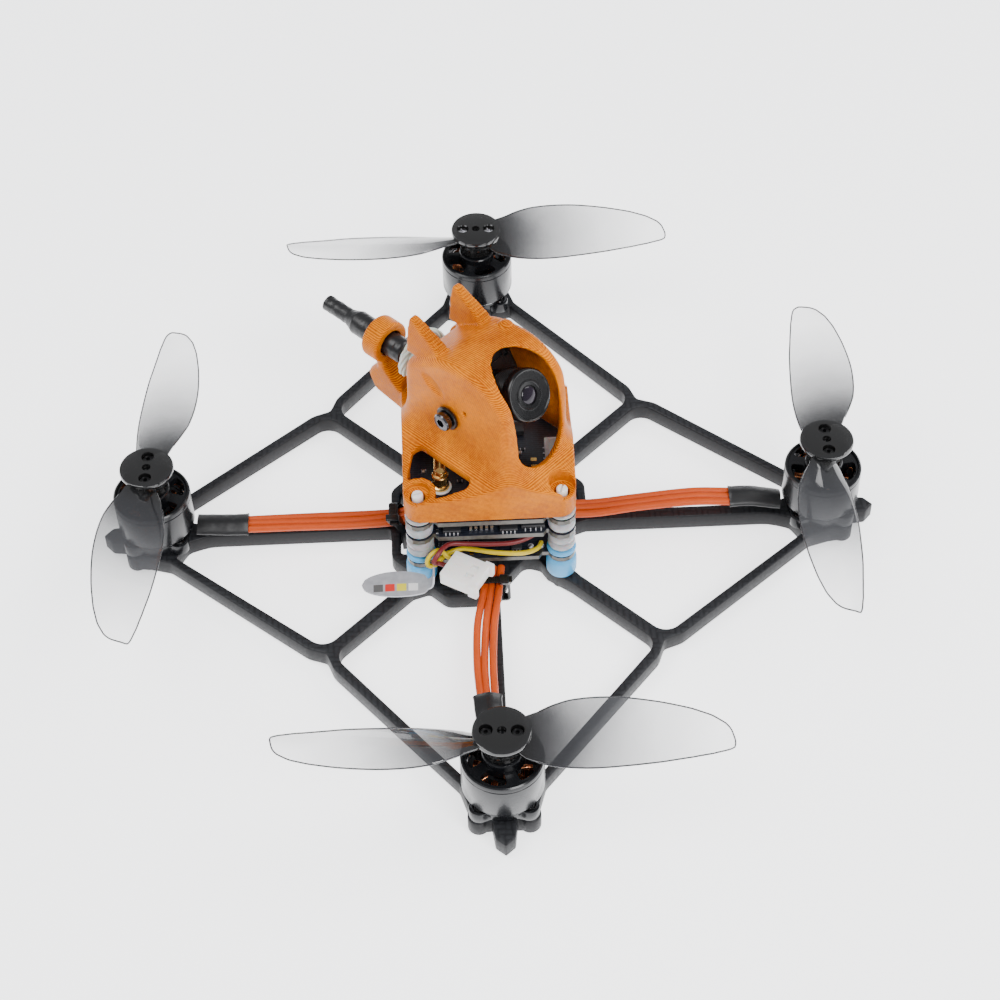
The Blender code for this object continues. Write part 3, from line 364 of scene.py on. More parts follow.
MATERIALS = {
    "carbon": carbon_material(),
    "print": print_material(),
    "blade": blade_material(),
    "winding": winding_material(),
    "board": board_material(),
    "label": label_material(),
    "glass": glass_material(),
    "black_metal": grained("black_anodised", (0.006, 0.0065, 0.008), 0.26, 0.2, grain=1600, tint=0.25,
                           bump=0.06, distance=0.00002, Coat_Weight=0.12, Coat_Roughness=0.12,
                           Specular_IOR_Level=0.4),
    "bright_edge": grained("cut_metal", (0.62, 0.63, 0.65), 0.22, 1.0, grain=2600, tint=0.1, bump=0.1),
    "orange_wire": grained("orange_silicone", (0.50, 0.065, 0.006), 0.45, grain=1200, tint=0.12, bump=0.12,
                           Subsurface_Weight=0.08, Subsurface_Scale=0.001, Specular_IOR_Level=0.25),
    "yellow_wire": grained("yellow_silicone", (0.62, 0.46, 0.0), 0.4, grain=1200, tint=0.1, bump=0.1),
    "red_wire": grained("red_silicone", (0.15, 0.007, 0.008), 0.42, grain=1200, tint=0.12, bump=0.1),
    "shrink": grained("heat_shrink_black", (0.007, 0.007, 0.008), 0.36, grain=900, tint=0.3, spread=0.12,
                      bump=0.35, distance=0.00006),
    "black_plastic": grained("black_moulded", (0.007, 0.007, 0.008), 0.28, grain=2200, tint=0.2, bump=0.12),
    "gloss_black": grained("gloss_black", (0.003, 0.003, 0.0035), 0.30, grain=1500, tint=0.2, bump=0.02,
                           Coat_Weight=0.12, Coat_Roughness=0.15, Specular_IOR_Level=0.35),
    "tie": grained("black_nylon", (0.005, 0.005, 0.006), 0.3, grain=1500, tint=0.2, bump=0.1),
    "blue": grained("blue_damper", (0.075, 0.36, 0.66), 0.45, grain=1400, tint=0.06, bump=0.1,
                    Subsurface_Weight=0.2, Subsurface_Scale=0.001),
    "silicone": grained("milky_silicone", (0.31, 0.32, 0.335), 0.3, grain=900, tint=0.06, bump=0.08,
                        Subsurface_Weight=0.6, Subsurface_Scale=0.002, Coat_Weight=0.2, Coat_Roughness=0.2),
    # The white nylon carries a faint emission: a painted glow that lightens the connector, screws and seat,
    # though they are no lamp.
    "nylon": grained("white_nylon", (0.84, 0.83, 0.81), 0.36, grain=1200, tint=0.05, bump=0.08,
                     Subsurface_Weight=0.25, Subsurface_Scale=0.001,
                     Emission_Color=(1.0, 0.98, 0.95, 1.0), Emission_Strength=0.05),
    # Dark smoke for the beads round the blades' outlines: a painted dark edge line standing in for refraction
    # at the edges.
    "rim": grained("smoke_painted_edge_line", (0.035, 0.036, 0.04), 0.12, grain=1500, tint=0.2, bump=0.02, Coat_Weight=0.3,
                   Alpha=0.85),
    "dark_steel": grained("dark_steel", (0.10, 0.10, 0.11), 0.18, 1.0, grain=2600, tint=0.15, bump=0.1),
    "steel": grained("screw_steel", (0.60, 0.60, 0.62), 0.2, 1.0, grain=2600, tint=0.12, bump=0.1),
    "gold": grained("gold_plate", (0.90, 0.58, 0.20), 0.22, 1.0, grain=2000, tint=0.1, bump=0.08),
    "solder": grained("solder", (0.62, 0.62, 0.64), 0.3, 1.0, grain=3000, tint=0.15, bump=0.3),
    "chip": grained("chip_epoxy", (0.022, 0.022, 0.024), 0.45, grain=3000, tint=0.15, bump=0.15),
    "ceramic": grained("ceramic_part", (0.33, 0.24, 0.17), 0.5, grain=3000, tint=0.15, bump=0.1),
    "coax": grained("coax_jacket", (0.52, 0.56, 0.50), 0.34, grain=1600, tint=0.1, bump=0.15,
                    Subsurface_Weight=0.2, Subsurface_Scale=0.001),
}


# --------------------------------------------------------------- shape helpers

def turn(points, angle):
    c, s = math.cos(angle), math.sin(angle)
    return [(x * c - y * s, x * s + y * c, *rest) for x, y, *rest in points]


def arm_place(x, y, z=0.0):
    return Vector(turn([(x, y, z)], ARM_TURN)[0])


def piece(name, bm, mat, place=(0, 0, 0), rotation=(0, 0, 0), smooth=32, body=AIRFRAME, replaces=()):
    """Make a piece from a millimetre bmesh, put it in place and let it ride on its body."""
    bmesh.ops.recalc_face_normals(bm, faces=bm.faces)
    if tuple(place) == (0, 0, 0):
        bm.transform(Euler(rotation).to_matrix().to_4x4())
        rotation = (0, 0, 0)
    bm.transform(Matrix.Scale(MM, 4))
    mesh = bpy.data.meshes.new(name)
    bm.to_mesh(mesh)
    bm.free()
    mesh.materials.append(MATERIALS[mat])
    if smooth:
        mesh.shade_smooth()
        mesh.set_sharp_from_angle(angle=math.radians(smooth))
    obj = bpy.data.objects.new(name, mesh)
    obj.location = Vector(place) * MM
    obj.rotation_euler = rotation
    bpy.context.scene.collection.objects.link(obj)
    if body:
        bpy.context.view_layer.update()
        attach(obj, body)
        if replaces:
            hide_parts(*replaces)
    return obj


def solid(name, bm, mat, steps, place=(0, 0, 0), rotation=(0, 0, 0), smooth=32, body=AIRFRAME,
          replaces=(), refine=None, solver="EXACT"):
    """A piece shaped by Boolean steps of (operation, bmesh, matrix in millimetres), then baked."""
    base = piece(name, bm, mat, body=None)
    tools = []
    for operation, tool_bm, matrix in steps:
        tool_bm.transform(matrix)
        tool = piece(f"{name}_tool", tool_bm, mat, body=None)
        modifier = base.modifiers.new("shape", "BOOLEAN")
        modifier.operation = operation
        modifier.object = tool
        modifier.solver = solver
        tools.append(tool)
    if refine:
        refine(base)
    bpy.context.view_layer.update()
    depsgraph = bpy.context.evaluated_depsgraph_get()
    mesh = bpy.data.meshes.new_from_object(base.evaluated_get(depsgraph))
    base.modifiers.clear()
    base.data = mesh
    for tool in tools:
        bpy.data.objects.remove(tool)
    mesh.shade_smooth()
    mesh.set_sharp_from_angle(angle=math.radians(smooth))
    base.location = Vector(place) * MM
    base.rotation_euler = rotation
    bpy.context.view_layer.update()
    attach(base, body)
    if replaces:
        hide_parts(*replaces)
    return base


def arc(cx, cy, radius, start, end, step=10):
    pieces = max(1, round(abs(end - start) / step))
    angles = [math.radians(start + (end - start) * k / pieces) for k in range(pieces + 1)]
    return [(cx + radius * math.cos(a), cy + radius * math.sin(a)) for a in angles]


def oblong(left, right, near, far, *fillet):
    return [(left, near, *fillet), (right, near, *fillet), (right, far, *fillet), (left, far, *fillet)]


def polar(radius, degrees):
    return radius * math.cos(math.radians(degrees)), radius * math.sin(math.radians(degrees))


def rounded(corners, step=10):
    """Fillet the corners of a closed outline given as (x, y, radius)."""
    outline = []
    count = len(corners)
    for i, (x, y, radius) in enumerate(corners):
        here = Vector((x, y))
        if radius <= 0:
            outline.append((x, y))
            continue
        back = (Vector(corners[i - 1][:2]) - here).normalized()
        ahead = (Vector(corners[(i + 1) % count][:2]) - here).normalized()
        half = back.angle(ahead) / 2
        centre = here + (back + ahead).normalized() * (radius / math.sin(half))
        start = here + back * (radius / math.tan(half)) - centre
        end = here + ahead * (radius / math.tan(half)) - centre
        sweep = start.angle_signed(end)
        pieces = max(1, round(abs(math.degrees(sweep)) / step))
        for k in range(pieces + 1):
            arm = start.copy()
            arm.rotate(Matrix.Rotation(-sweep * k / pieces, 2))
            outline.append(tuple(centre + arm))
    return outline


def inset(points, distance):
    moved = []
    count = len(points)
    for i in range(count):
        here = Vector(points[i])
        back = (here - Vector(points[i - 1])).normalized()
        ahead = (Vector(points[(i + 1) % count]) - here).normalized()
        normal = Vector((-(back + ahead).y, (back + ahead).x)).normalized()
        scale = max(0.5, normal.dot(Vector((-back.y, back.x))))
        moved.append(tuple(here + normal * (distance / scale)))
    return moved


def area(points):
    return sum(a[0] * b[1] - b[0] * a[1] for a, b in zip(points, points[1:] + points[:1])) / 2


def slab(outline, holes, bottom, top, round_off=0.0):
    """A flat plate with through holes whose rims are rounded off a little."""
    bm = bmesh.new()
    low_edges, high_edges = [], []
    loops = [outline if area(outline) > 0 else outline[::-1]]
    loops += [hole if area(hole) < 0 else hole[::-1] for hole in holes]
    for loop in loops:
        levels = [(loop, bottom), (loop, top)]
        if round_off:
            slight = inset(loop, round_off * 0.3)
            full = inset(loop, round_off)
            levels = [(full, bottom), (slight, bottom + round_off * 0.3), (loop, bottom + round_off),
                      (loop, top - round_off), (slight, top - round_off * 0.3), (full, top)]
        rings = [[bm.verts.new((x, y, z)) for x, y in points] for points, z in levels]
        count = len(loop)
        for lower, upper in zip(rings, rings[1:]):
            for i in range(count):
                j = (i + 1) % count
                bm.faces.new((lower[i], lower[j], upper[j], upper[i]))
        low_edges += [bm.edges.get((rings[0][i], rings[0][i - 1])) for i in range(count)]
        high_edges += [bm.edges.get((rings[-1][i], rings[-1][i - 1])) for i in range(count)]
    bmesh.ops.triangle_fill(bm, edges=low_edges, use_beauty=True)
    bmesh.ops.triangle_fill(bm, edges=high_edges, use_beauty=True)
    return bm


def turned(profile, segments=64):
    """A solid turned about Z from a closed outline of (radius, height) points."""
    bm = bmesh.new()
    rings = []
    for radius, height in profile:
        steps = segments if radius > 1e-6 else 1
        rings.append([
            bm.verts.new((radius * math.cos(TAU * k / steps), radius * math.sin(TAU * k / steps), height))
            for k in range(steps)
        ])
    for ring, after in zip(rings, rings[1:] + rings[:1]):
        for k in range(segments):
            corners = [ring[k % len(ring)], ring[(k + 1) % len(ring)]]
            corners += [after[(k + 1) % len(after)], after[k % len(after)]]
            face = list(dict.fromkeys(corners))
            if len(face) > 2:
                bm.faces.new(face)
    return bm


def rod(radius, bottom, top, segments=64):
    return turned([(0, bottom), (radius, bottom), (radius, top), (0, top)], segments)


def tube(sections):
    """An open skin through sections that all have the same number of points, and its rings."""
    bm = bmesh.new()
    rings = [[bm.verts.new(point) for point in section] for section in sections]
    count = len(rings[0])
    for ring, after in zip(rings, rings[1:]):
        for i in range(count):
            j = (i + 1) % count
            bm.faces.new((ring[i], ring[j], after[j], after[i]))
    return bm, rings


def skin(sections):
    """The same with both ends closed."""
    bm, rings = tube(sections)
    bm.faces.new(rings[0][::-1])
    bm.faces.new(rings[-1])
    return bm


def prism(profile, half_width):
    return skin([[(x, y, z) for y, z in profile] for x in (-half_width, half_width)])


def merge(target, source, matrix=None):
    """Add one bmesh to another, moved by a matrix."""
    if matrix is not None:
        source.transform(matrix)
    mesh = bpy.data.meshes.new("joined")
    source.to_mesh(mesh)
    source.free()
    target.from_mesh(mesh)
    bpy.data.meshes.remove(mesh)
    return target


def smooth_route(points, spacing):
    knots = [Vector(p) for p in points]
    knots = [knots[0] * 2 - knots[1]] + knots + [knots[-1] * 2 - knots[-2]]
    fine = []
    for p0, p1, p2, p3 in zip(knots, knots[1:], knots[2:], knots[3:]):
        for k in range(20):
            t = k / 20
            fine.append(0.5 * (2 * p1 + (p2 - p0) * t + (2 * p0 - 5 * p1 + 4 * p2 - p3) * t * t
                               + (3 * p1 - p0 - 3 * p2 + p3) * t ** 3))
    fine.append(knots[-2])
    lengths = [0.0]
    for a, b in zip(fine, fine[1:]):
        lengths.append(lengths[-1] + (b - a).length)
    pieces = max(2, round(lengths[-1] / spacing))
    route, k = [], 0
    for i in range(pieces + 1):
        target = lengths[-1] * i / pieces
        while k < len(fine) - 2 and lengths[k + 1] < target:
            k += 1
        span = lengths[k + 1] - lengths[k]
        route.append(fine[k].lerp(fine[k + 1], min(1.0, (target - lengths[k]) / span)))
    return route


def heading_at(route, i):
    return (route[min(i + 1, len(route) - 1)] - route[max(i - 1, 0)]).normalized()


def sweep(route, section, scale=None):
    """A closed body that carries a section, of (across, up) points, along a route."""
    sections = []
    count = len(route)
    for i, place in enumerate(route):
        along = heading_at(route, i)
        across = along.cross(Vector((0, 0, 1)))
        across = across.normalized() if across.length > 0.1 else Vector((1, 0, 0))
        rise = across.cross(along).normalized()
        size = scale(i / (count - 1)) if scale else 1.0
        sections.append([place + across * (a * size) + rise * (b * size) for a, b in section])
    return skin(sections)


def circle(radius, sides=14):
    return [(radius * math.cos(TAU * k / sides), radius * math.sin(TAU * k / sides)) for k in range(sides)]


def at(x=0.0, y=0.0, z=0.0, spin=0.0):
    return Matrix.Translation((x, y, z)) @ Matrix.Rotation(spin, 4, "Z")


# -------------------------------------------------------- camera, light, floor

def build_stage():
    camera_data = bpy.data.cameras.new("view")
    camera_data.lens = 78.18
    camera_data.sensor_width = 36.0
    camera_data.clip_start = 0.01
    camera = bpy.data.objects.new("view", camera_data)
    forward = Vector((0.4838, 0.4619, -0.7434)).normalized()
    right = Vector((0.6770, -0.7358, -0.0166)).normalized()
    up = right.cross(forward).normalized()
    right = forward.cross(up)
    rotation = Matrix((right, up, -forward)).transposed()
    camera.matrix_world = Matrix.Translation((-0.19377, -0.18788, 0.30877)) @ rotation.to_4x4()
    bpy.context.scene.collection.objects.link(camera)
    bpy.context.scene.camera = camera

    floor_bm = bmesh.new()
    bmesh.ops.create_grid(floor_bm, x_segments=40, y_segments=40, size=3000)
    floor = piece("studio_floor", floor_bm, "nylon", (0, 0, CAD_BOX[0][2] / MM - 0.02), body=None)
    mat, shader = new_material("floor_paper", (0.86, 0.865, 0.875), 0.55, Specular_IOR_Level=0.25)
    paper = textured(mat, "TexNoise", object_coords(mat), Scale=3.0, Detail=3.0)
    tone = ramp(mat, paper, ((0.3, (0.855, 0.86, 0.87)), (0.7, (0.87, 0.875, 0.885))))
    link(mat, tone, shader.inputs["Base Color"])
    floor.data.materials.clear()
    floor.data.materials.append(mat)
    shader.inputs["Emission Color"].default_value = (0.98, 0.985, 1.0, 1.0)
    shader.inputs["Emission Strength"].default_value = 2.0

    world = bpy.data.worlds.new("studio")
    world.use_nodes = True
    world.node_tree.nodes["Background"].inputs[0].default_value = (0.96, 0.97, 1.0, 1.0)
    world.node_tree.nodes["Background"].inputs[1].default_value = 0.5
    bpy.context.scene.world = world
    for name, place, size, power in (("key", (-0.35, 0.25, 0.75), 0.55, 5.5),
                                     ("fill", (0.55, -0.25, 0.55), 0.45, 3.5),
                                     ("front", (-0.14, -0.52, 0.50), 0.30, 4.5)):
        light = bpy.data.lights.new(name, "AREA")
        light.size = size
        light.energy = power
        lamp = bpy.data.objects.new(name, light)
        lamp.location = place
        lamp.rotation_euler = (Vector((0, 0, 0.01)) - Vector(place)).to_track_quat("-Z", "Y").to_euler()
        bpy.context.scene.collection.objects.link(lamp)


# ------------------------------------------------------------- accessory lead

WIRE_ROUTES = {
    # in the arm frame: from the boards at the front corner, behind the plug and round into its wire end
    "accessory_wire_yellow": ((9.1, -11.9, 10.1), (8.4, -13.5, 10.4), (6.2, -15.0, 11.0), (3.2, -15.2, 11.2),
                              (0.0, -14.4, 10.8), (-3.0, -13.2, 10.3), (-5.6, -12.8, 10.2),
                              (-8.2, -13.9, 10.1), (-10.2, -16.0, 9.9), (-11.4, -16.7, 10.4),
                              (-11.6, -16.5, 11.6), (-10.8, -15.8, 12.5), (-9.7, -15.1, 12.7),
                              (-8.8, -14.8, 11.9), (-8.2, -15.1, 11.1), (-7.34, -15.61, 10.9)),
    "accessory_wire_red": ((10.0, -4.6, 13.6), (9.9, -7.4, 13.5), (9.3, -10.2, 13.3), (7.6, -12.6, 13.0),
                           (4.2, -13.9, 12.7), (0.0, -14.1, 12.7), (-5.0, -14.0, 13.0),
                           (-7.4, -14.3, 13.4), (-8.8, -15.5, 13.6), (-9.7, -16.7, 13.3),
                           (-10.4, -17.3, 12.4), (-10.3, -16.9, 11.3), (-9.5, -16.55, 10.8),
                           (-8.5, -17.1, 10.9)),
}
CONNECTOR_PLACE = (-4.9, -19.3, 10.9)
CONNECTOR_HEADING = math.radians(-31)


def build_wires(lead_ends):
    """The two free wires, each a curve along its own route."""
    for name, mat in (("accessory_wire_yellow", "yellow_wire"), ("accessory_wire_red", "red_wire")):
        route = smooth_route(turn(WIRE_ROUTES[name], ARM_TURN), 0.55)
        curve = bpy.data.curves.new(name + "_looks", "CURVE")
        curve.dimensions = "3D"
        curve.bevel_depth = WIRE_DIAMETER / 2 * MM
        curve.bevel_resolution = 4
        curve.use_fill_caps = True
        spline = curve.splines.new("POLY")
        spline.points.add(len(route) - 1)
        for point, place in zip(spline.points, route):
            point.co = (*(place * MM), 1.0)
        curve.materials.append(MATERIALS[mat])
        wire = bpy.data.objects.new(name + "_looks", curve)
        bpy.context.scene.collection.objects.link(wire)
        bpy.context.view_layer.update()
        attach(wire, AIRFRAME)
        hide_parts(name)


def build_connector():
    """A white shrouded plug: two ears at its mouth, two windows on top, crimps inside."""
    outline = rounded([(-3.6, -3.1, 0.35), (2.4, -3.1, 0.1), (2.4, -3.5, 0.15), (4.2, -3.5, 0.3),
                       (4.2, -2.5, 0.2), (3.5, -2.3, 0.15), (3.5, 2.3, 0.15), (4.2, 2.5, 0.2),
                       (4.2, 3.5, 0.3), (2.4, 3.5, 0.15), (2.4, 3.1, 0.1), (-3.6, 3.1, 0.35)], step=30)
    steps = []
    for side in (-1.05, 1.05):
        window = oblong(-0.5, 0.9, -0.5, 0.5, 0.1)
        steps.append((CUT, slab(rounded(window, step=45), [], 0.6, 2.0), at(1.2, side)))
    for row in (-1.9, 0.0, 1.9):
        groove = oblong(-0.7, 1.6, -0.12, 0.12)
        steps.append((CUT, slab(groove, [], 1.2, 2.0), at(-2.2, row)))
    lying = Matrix.Rotation(math.pi / 2, 4, "Y")
    for row in (-2.1, -0.7, 0.7, 2.1):
        socket = rod(0.5, -1.0, 1.0, 16)
        steps.append((CUT, socket, at(-3.6, row) @ lying))
    housing = solid("connector_housing", slab(outline, [], -1.35, 1.35, 0.16), "nylon", steps,
                    arm_place(*CONNECTOR_PLACE), (0, 0, ARM_TURN + CONNECTOR_HEADING), smooth=28,
                    replaces=("accessory_connector",))
    # The crimps in the windows are dark steel so the windows read dark: partly their own colour, partly
    # painted shade inside the windows.
    contacts = bmesh.new()
    for side in (-1.05, 1.05):
        contact = rounded(oblong(-0.3, 0.7, -0.35, 0.35, 0.1))
        merge(contacts, slab(contact, [], -0.1, 0.55, 0.08), at(1.2, side))
    piece("connector_contacts", contacts, "dark_steel", arm_place(*CONNECTOR_PLACE),
          (0, 0, ARM_TURN + CONNECTOR_HEADING))
    return housing


def build_flag():
    """The oval flag with its neck turned up beside the wires."""
    sections = []
    half_thickness = 0.16
    for k in range(25):
        share = k / 24 * 0.86
        x = -23.6 + 13.2 * share
        half = 0.12 + 2.78 * math.sqrt(max(0.0, 1 - (2 * share - 1) ** 2))
        y = -18.9 - 0.3 * share
        lift = 8.2 + 0.25 * math.sin(3.0 * share)
        sections.append([(x, y - half, lift - half_thickness), (x, y, lift - half_thickness),
                         (x, y + half, lift - half_thickness), (x, y + half, lift + half_thickness),
                         (x, y, lift + half_thickness), (x, y - half, lift + half_thickness)])
    neck = smooth_route([(-12.0, -19.3, 8.35), (-11.3, -19.35, 8.6), (-10.8, -19.4, 9.4),
                         (-10.6, -19.45, 10.6), (-10.5, -19.5, 12.0)], 0.4)
    for i, place in enumerate(neck[1:], 1):
        along = heading_at(neck, i)
        normal = Vector((-along.z, 0, along.x)) * half_thickness
        across = Vector((0, 1.15, 0))
        sections.append([place - across - normal, place - normal, place + across - normal,
                         place + across + normal, place + normal, place - across + normal])
    return piece("wire_flag", skin(sections), "label", rotation=(0, 0, ARM_TURN), smooth=40,
                 replaces=("wire_flag_label",))


# ---------------------------------------------------------------- frame plate

def outer_sector():
    half = rounded([(73.2, -1.5, 0.0), (72.1, 0.0, 0.55), (70.6, 1.7, 0.8), (67.2, 2.15, 0.0),
                    (67.0, 2.3, 0.0)])[1:-1]
    angle = math.radians(47)
    half += arc(MOTOR_REACH + 5.9 * math.cos(angle), 5.9 * math.sin(angle), 1.9, -42, 118)
    half += rounded([(65.2, 6.3, 0.0), (63.4, 6.15, 1.0), (59.4, 7.35, 2.0), (33.6, 28.95, 4.0),
                     (30.2, 30.2, 1.3), (28.95, 33.6, 0.0)])[1:-2]
    half = [(x, y) for x, y in half if y > 0.0 and x >= y]
    return [(72.0, 0.0)] + half + [(y, x) for x, y in reversed(half)]


def hole_outline(looped):
    hub = [(12.75, 10.2, 0.0), (10.6, 9.0, 1.2), (9.6, 6.2, 2.0), (13.8, 3.0, 1.5), (18.0, 1.25, 2.0)]
    if looped:
        hub = [(15.2, 11.6, 0.9), (18.4, 8.4, 2.6), (18.4, 1.25, 0.8)]
    rest = [(52.5, 1.25, 8.0), (56.3, 2.6, 2.0), (58.3, 6.25, 0.5), (30.6, 28.95, 3.0), (16.2, 14.55, 1.0)]
    return rounded(hub + rest)


def build_frame():
    outline, holes = [], []
    slot = rounded(oblong(14.5, 16.7, 2.0, 7.6, 0.8))
    for k in range(4):
        angle = math.radians(90 * k)
        outline += turn(outer_sector(), angle)
        shapes = [hole_outline(k != 3)] + ([slot] if k != 3 else [])
        for shape in shapes:
            holes.append(turn(shape, angle))
            holes.append(turn([(y, x) for x, y in shape], angle))
        holes.append(turn(arc(POST, POST, 1.3, 0, 345, 15), angle))
    piece("frame_plate_looks", slab(outline, holes, 0.0, PLATE_TOP, 0.3), "carbon",
          rotation=(0, 0, ARM_TURN), smooth=50, replaces=("frame_plate",))


# --------------------------------------------------------------------- motors

LOBE_ANGLES = (45, 135, 225, 315)
LOBE_REACH = 5.9


def build_motor_base(name, place, spin):
    outline = []
    for middle in LOBE_ANGLES:
        outline += arc(0, 0, LOBE_REACH, middle - 45, middle - 22)
        outline += arc(*polar(LOBE_REACH, middle), 1.8, middle - 75, middle + 75)
        outline += arc(0, 0, LOBE_REACH, middle + 22, middle + 44)
    steps = [(JOIN, turned([(1.1, 5.7), (6.0, 5.7), (6.35, 5.9), (6.35, 6.35), (6.2, 6.5), (2.0, 6.5),
                            (2.0, 12.6), (1.1, 12.6)]), UNMOVED)]
    screws = bmesh.new()
    for middle in LOBE_ANGLES:
        lobe = at(*polar(LOBE_REACH, middle))
        steps.append((CUT, rod(1.15, 5.5, 8, 24), lobe))
        head = turned([(0, 5.55), (1.0, 5.55), (1.0, 6.0), (0.85, 6.2), (0.45, 6.25), (0.4, 5.9),
                       (0, 5.85)], 24)
        merge(screws, head, lobe)
    solid(f"motor_base_looks_{name}", slab(outline, [arc(0, 0, 1.1, 0, 345, 15)], 3.8, 6.1, 0.15),
          "black_metal", steps, place, (0, 0, spin), replaces=(f"motor_base_{name}",))
    piece(f"motor_screws_{name}", screws, "gloss_black", place, (0, 0, spin))


def build_stator(name, place):
    """Nine laminated teeth, each wound with enamelled wire."""
    core = []
    for k in range(9):
        middle = 40 * k
        core += arc(0, 0, 5.7, middle - 15, middle + 15, 5)
        core += arc(0, 0, 5.0, middle + 13, middle + 5, 4)
        core += arc(0, 0, 3.0, middle + 12, middle + 28, 8)
        core += arc(0, 0, 5.0, middle + 35, middle + 27, 4)
    bm = slab(core, [arc(0, 0, 2.3, 0, 345, 15)], 7.8, 11.0)
    piece(f"stator_core_{name}", bm, "chip", place, replaces=(f"stator_{name}",))
    coils = bmesh.new()
    for k in range(9):
        spin = Matrix.Rotation(math.radians(40 * k), 3, "Z")
        for layer in range(5):
            reach = 2.95 + layer * 0.42
            half_width = 0.62 + layer * 0.05
            half_height = 1.95 - 0.04 * layer
            centre = Vector((reach, 0, 9.4))
            loop = []
            for i in range(20):
                angle = TAU * i / 20
                c, s = math.cos(angle), math.sin(angle)
                sx = math.copysign(abs(c) ** 0.5, c) * half_width
                sz = math.copysign(abs(s) ** 0.5, s) * half_height
                loop.append((sx, sz))
            inner = [(a * 0.72, b * 0.88) for a, b in loop]
            rings = []
            for points, shift in ((inner, 0.0), (loop, 0.04), (loop, 0.36), (inner, 0.40)):
                rings.append([coils.verts.new(spin @ (centre + Vector((shift, a, b)))) for a, b in points])
            for ring, after in zip(rings, rings[1:] + rings[:1]):
                for i in range(20):
                    j = (i + 1) % 20
                    coils.faces.new((ring[i], ring[j], after[j], after[i]))
    piece(f"stator_coils_{name}", coils, "winding", place)


# Corners of one window in the bell's top: distance from the axis, degrees off its middle line, fillet
BELL_WINDOW = ((5.9, -25, 0.5), (6.35, 0, 3.0), (5.9, 25, 0.5), (3.7, 21, 0.4), (3.5, 0, 1.0),
               (3.7, -21, 0.4))


def build_bell(name, place, spin):
    """The can, its sloped spokes and the shaft, with a thin cut line round the lower rim."""
    body = f"rotor_{name}"
    profile = [(0.0, 20.6), (0.65, 20.6), (0.75, 20.5), (0.75, 16.1), (2.9, 16.1), (3.3, 16.0), (3.45, 15.8),
               (3.5, 14.7), (6.35, 14.45), (6.5, 14.8), (6.75, 14.8), (6.98, 14.6), (7.05, 14.35),
               (7.05, 13.75), (6.93, 13.68), (6.93, 13.55), (7.05, 13.48), (7.05, 7.35), (6.98, 7.2),
               (6.8, 7.1), (6.2, 7.1), (6.15, 7.2), (6.15, 13.2), (2.4, 13.2), (0.75, 12.9), (0.75, 4.4),
               (0.0, 4.4)]
    steps = []
    for k in range(5):
        middle = 72 * k + 36
        outline = rounded([(*polar(reach, middle + aside), fillet) for reach, aside, fillet in BELL_WINDOW],
                          step=20)
        steps.append((CUT, slab(outline, [], 12.4, 16.8), UNMOVED))
    solid(f"bell_looks_{name}", turned(profile, 96), "black_metal", steps, place, (0, 0, spin), smooth=28,
          body=body, replaces=(f"rotor_bell_{name}",))
    rim = turned([(6.25, 6.95), (6.75, 6.95), (6.95, 7.05), (7.0, 7.16), (6.8, 7.06), (6.25, 7.06)], 96)
    piece(f"bell_rim_{name}", rim, "bright_edge", place, body=body)
    magnets = bmesh.new()
    for k in range(12):
        outline = arc(0, 0, 6.12, 30 * k - 12, 30 * k + 12, 6) + arc(0, 0, 5.78, 30 * k + 12, 30 * k - 12, 6)
        merge(magnets, slab(outline, [], 7.6, 12.6, 0.06))
    piece(f"bell_magnets_{name}", magnets, "steel", place, (0, 0, spin), body=body)


BLADE_STATIONS = (
    # radius, leading edge offset and height, trailing edge offset and height, thickness
    (1.5, 0.9, 19.6, -1.0, 18.2, 1.7),
    (3.6, 3.2, 20.7, -2.3, 17.1, 1.5),
    (5.5, 4.1, 20.9, -2.8, 16.8, 1.25),
    (8.0, 5.4, 21.1, -3.3, 16.6, 1.05),
    (11.0, 6.6, 21.1, -3.6, 16.5, 0.95),
    (15.0, 7.3, 21.0, -3.7, 16.6, 0.85),
    (20.0, 7.5, 20.8, -3.4, 16.9, 0.75),
    (26.0, 7.0, 20.4, -2.8, 17.3, 0.65),
    (31.0, 6.1, 20.0, -2.0, 17.6, 0.58),
    (34.5, 5.0, 19.6, -1.4, 17.9, 0.52),
    (36.6, 3.7, 19.3, -0.9, 18.1, 0.48),
    (37.6, 2.4, 19.1, -0.6, 18.2, 0.44),
    (PROP_RADIUS, 0.5, 18.9, -0.3, 18.3, 0.36),
)


def blade_station(radius):
    """Catmull-Rom values of every blade measure at one radius."""
    rows = BLADE_STATIONS
    k = 0
    while k < len(rows) - 2 and rows[k + 1][0] < radius:
        k += 1
    t = (radius - rows[k][0]) / (rows[k + 1][0] - rows[k][0])
    p0, p1, p2, p3 = rows[max(k - 1, 0)], rows[k], rows[k + 1], rows[min(k + 2, len(rows) - 1)]
    values = []
    for a, b, c, d in zip(p0[1:], p1[1:], p2[1:], p3[1:]):
        values.append(0.5 * (2 * b + (c - a) * t + (2 * a - 5 * b + 4 * c - d) * t * t
                             + (3 * b - a - 3 * c + d) * t ** 3))
    return values


def blade_bm(sense):
    """A cambered aerofoil blade along +X, thin at both edges."""
    radii = [1.5 + (37.3 - 1.5) * k / 44 for k in range(45)] + [37.6, 37.85, 38.0, PROP_RADIUS]
    shares = [0.5 - 0.5 * math.cos(math.pi * k / 14) for k in range(15)]
    sections = []
    for radius in radii:
        lead, lead_z, trail, trail_z, thickness = blade_station(radius)
        chord = lead - trail
        upper, lower = [], []
        for share in shares:
            across = lead + (trail - lead) * share
            camber = 0.075 * chord * math.sin(math.pi * share ** 0.85)
            half = thickness * (0.16 + 0.42 * math.sqrt(share) * (1 - share) ** 0.6 * 1.6)
            if share in (0.0, shares[-1]):
                half = thickness * 0.12
            height = lead_z + (trail_z - lead_z) * share + camber
            upper.append((radius, sense * across, height + half))
            lower.append((radius, sense * across, height - half))
        sections.append(upper + lower[::-1])
    return skin(sections)


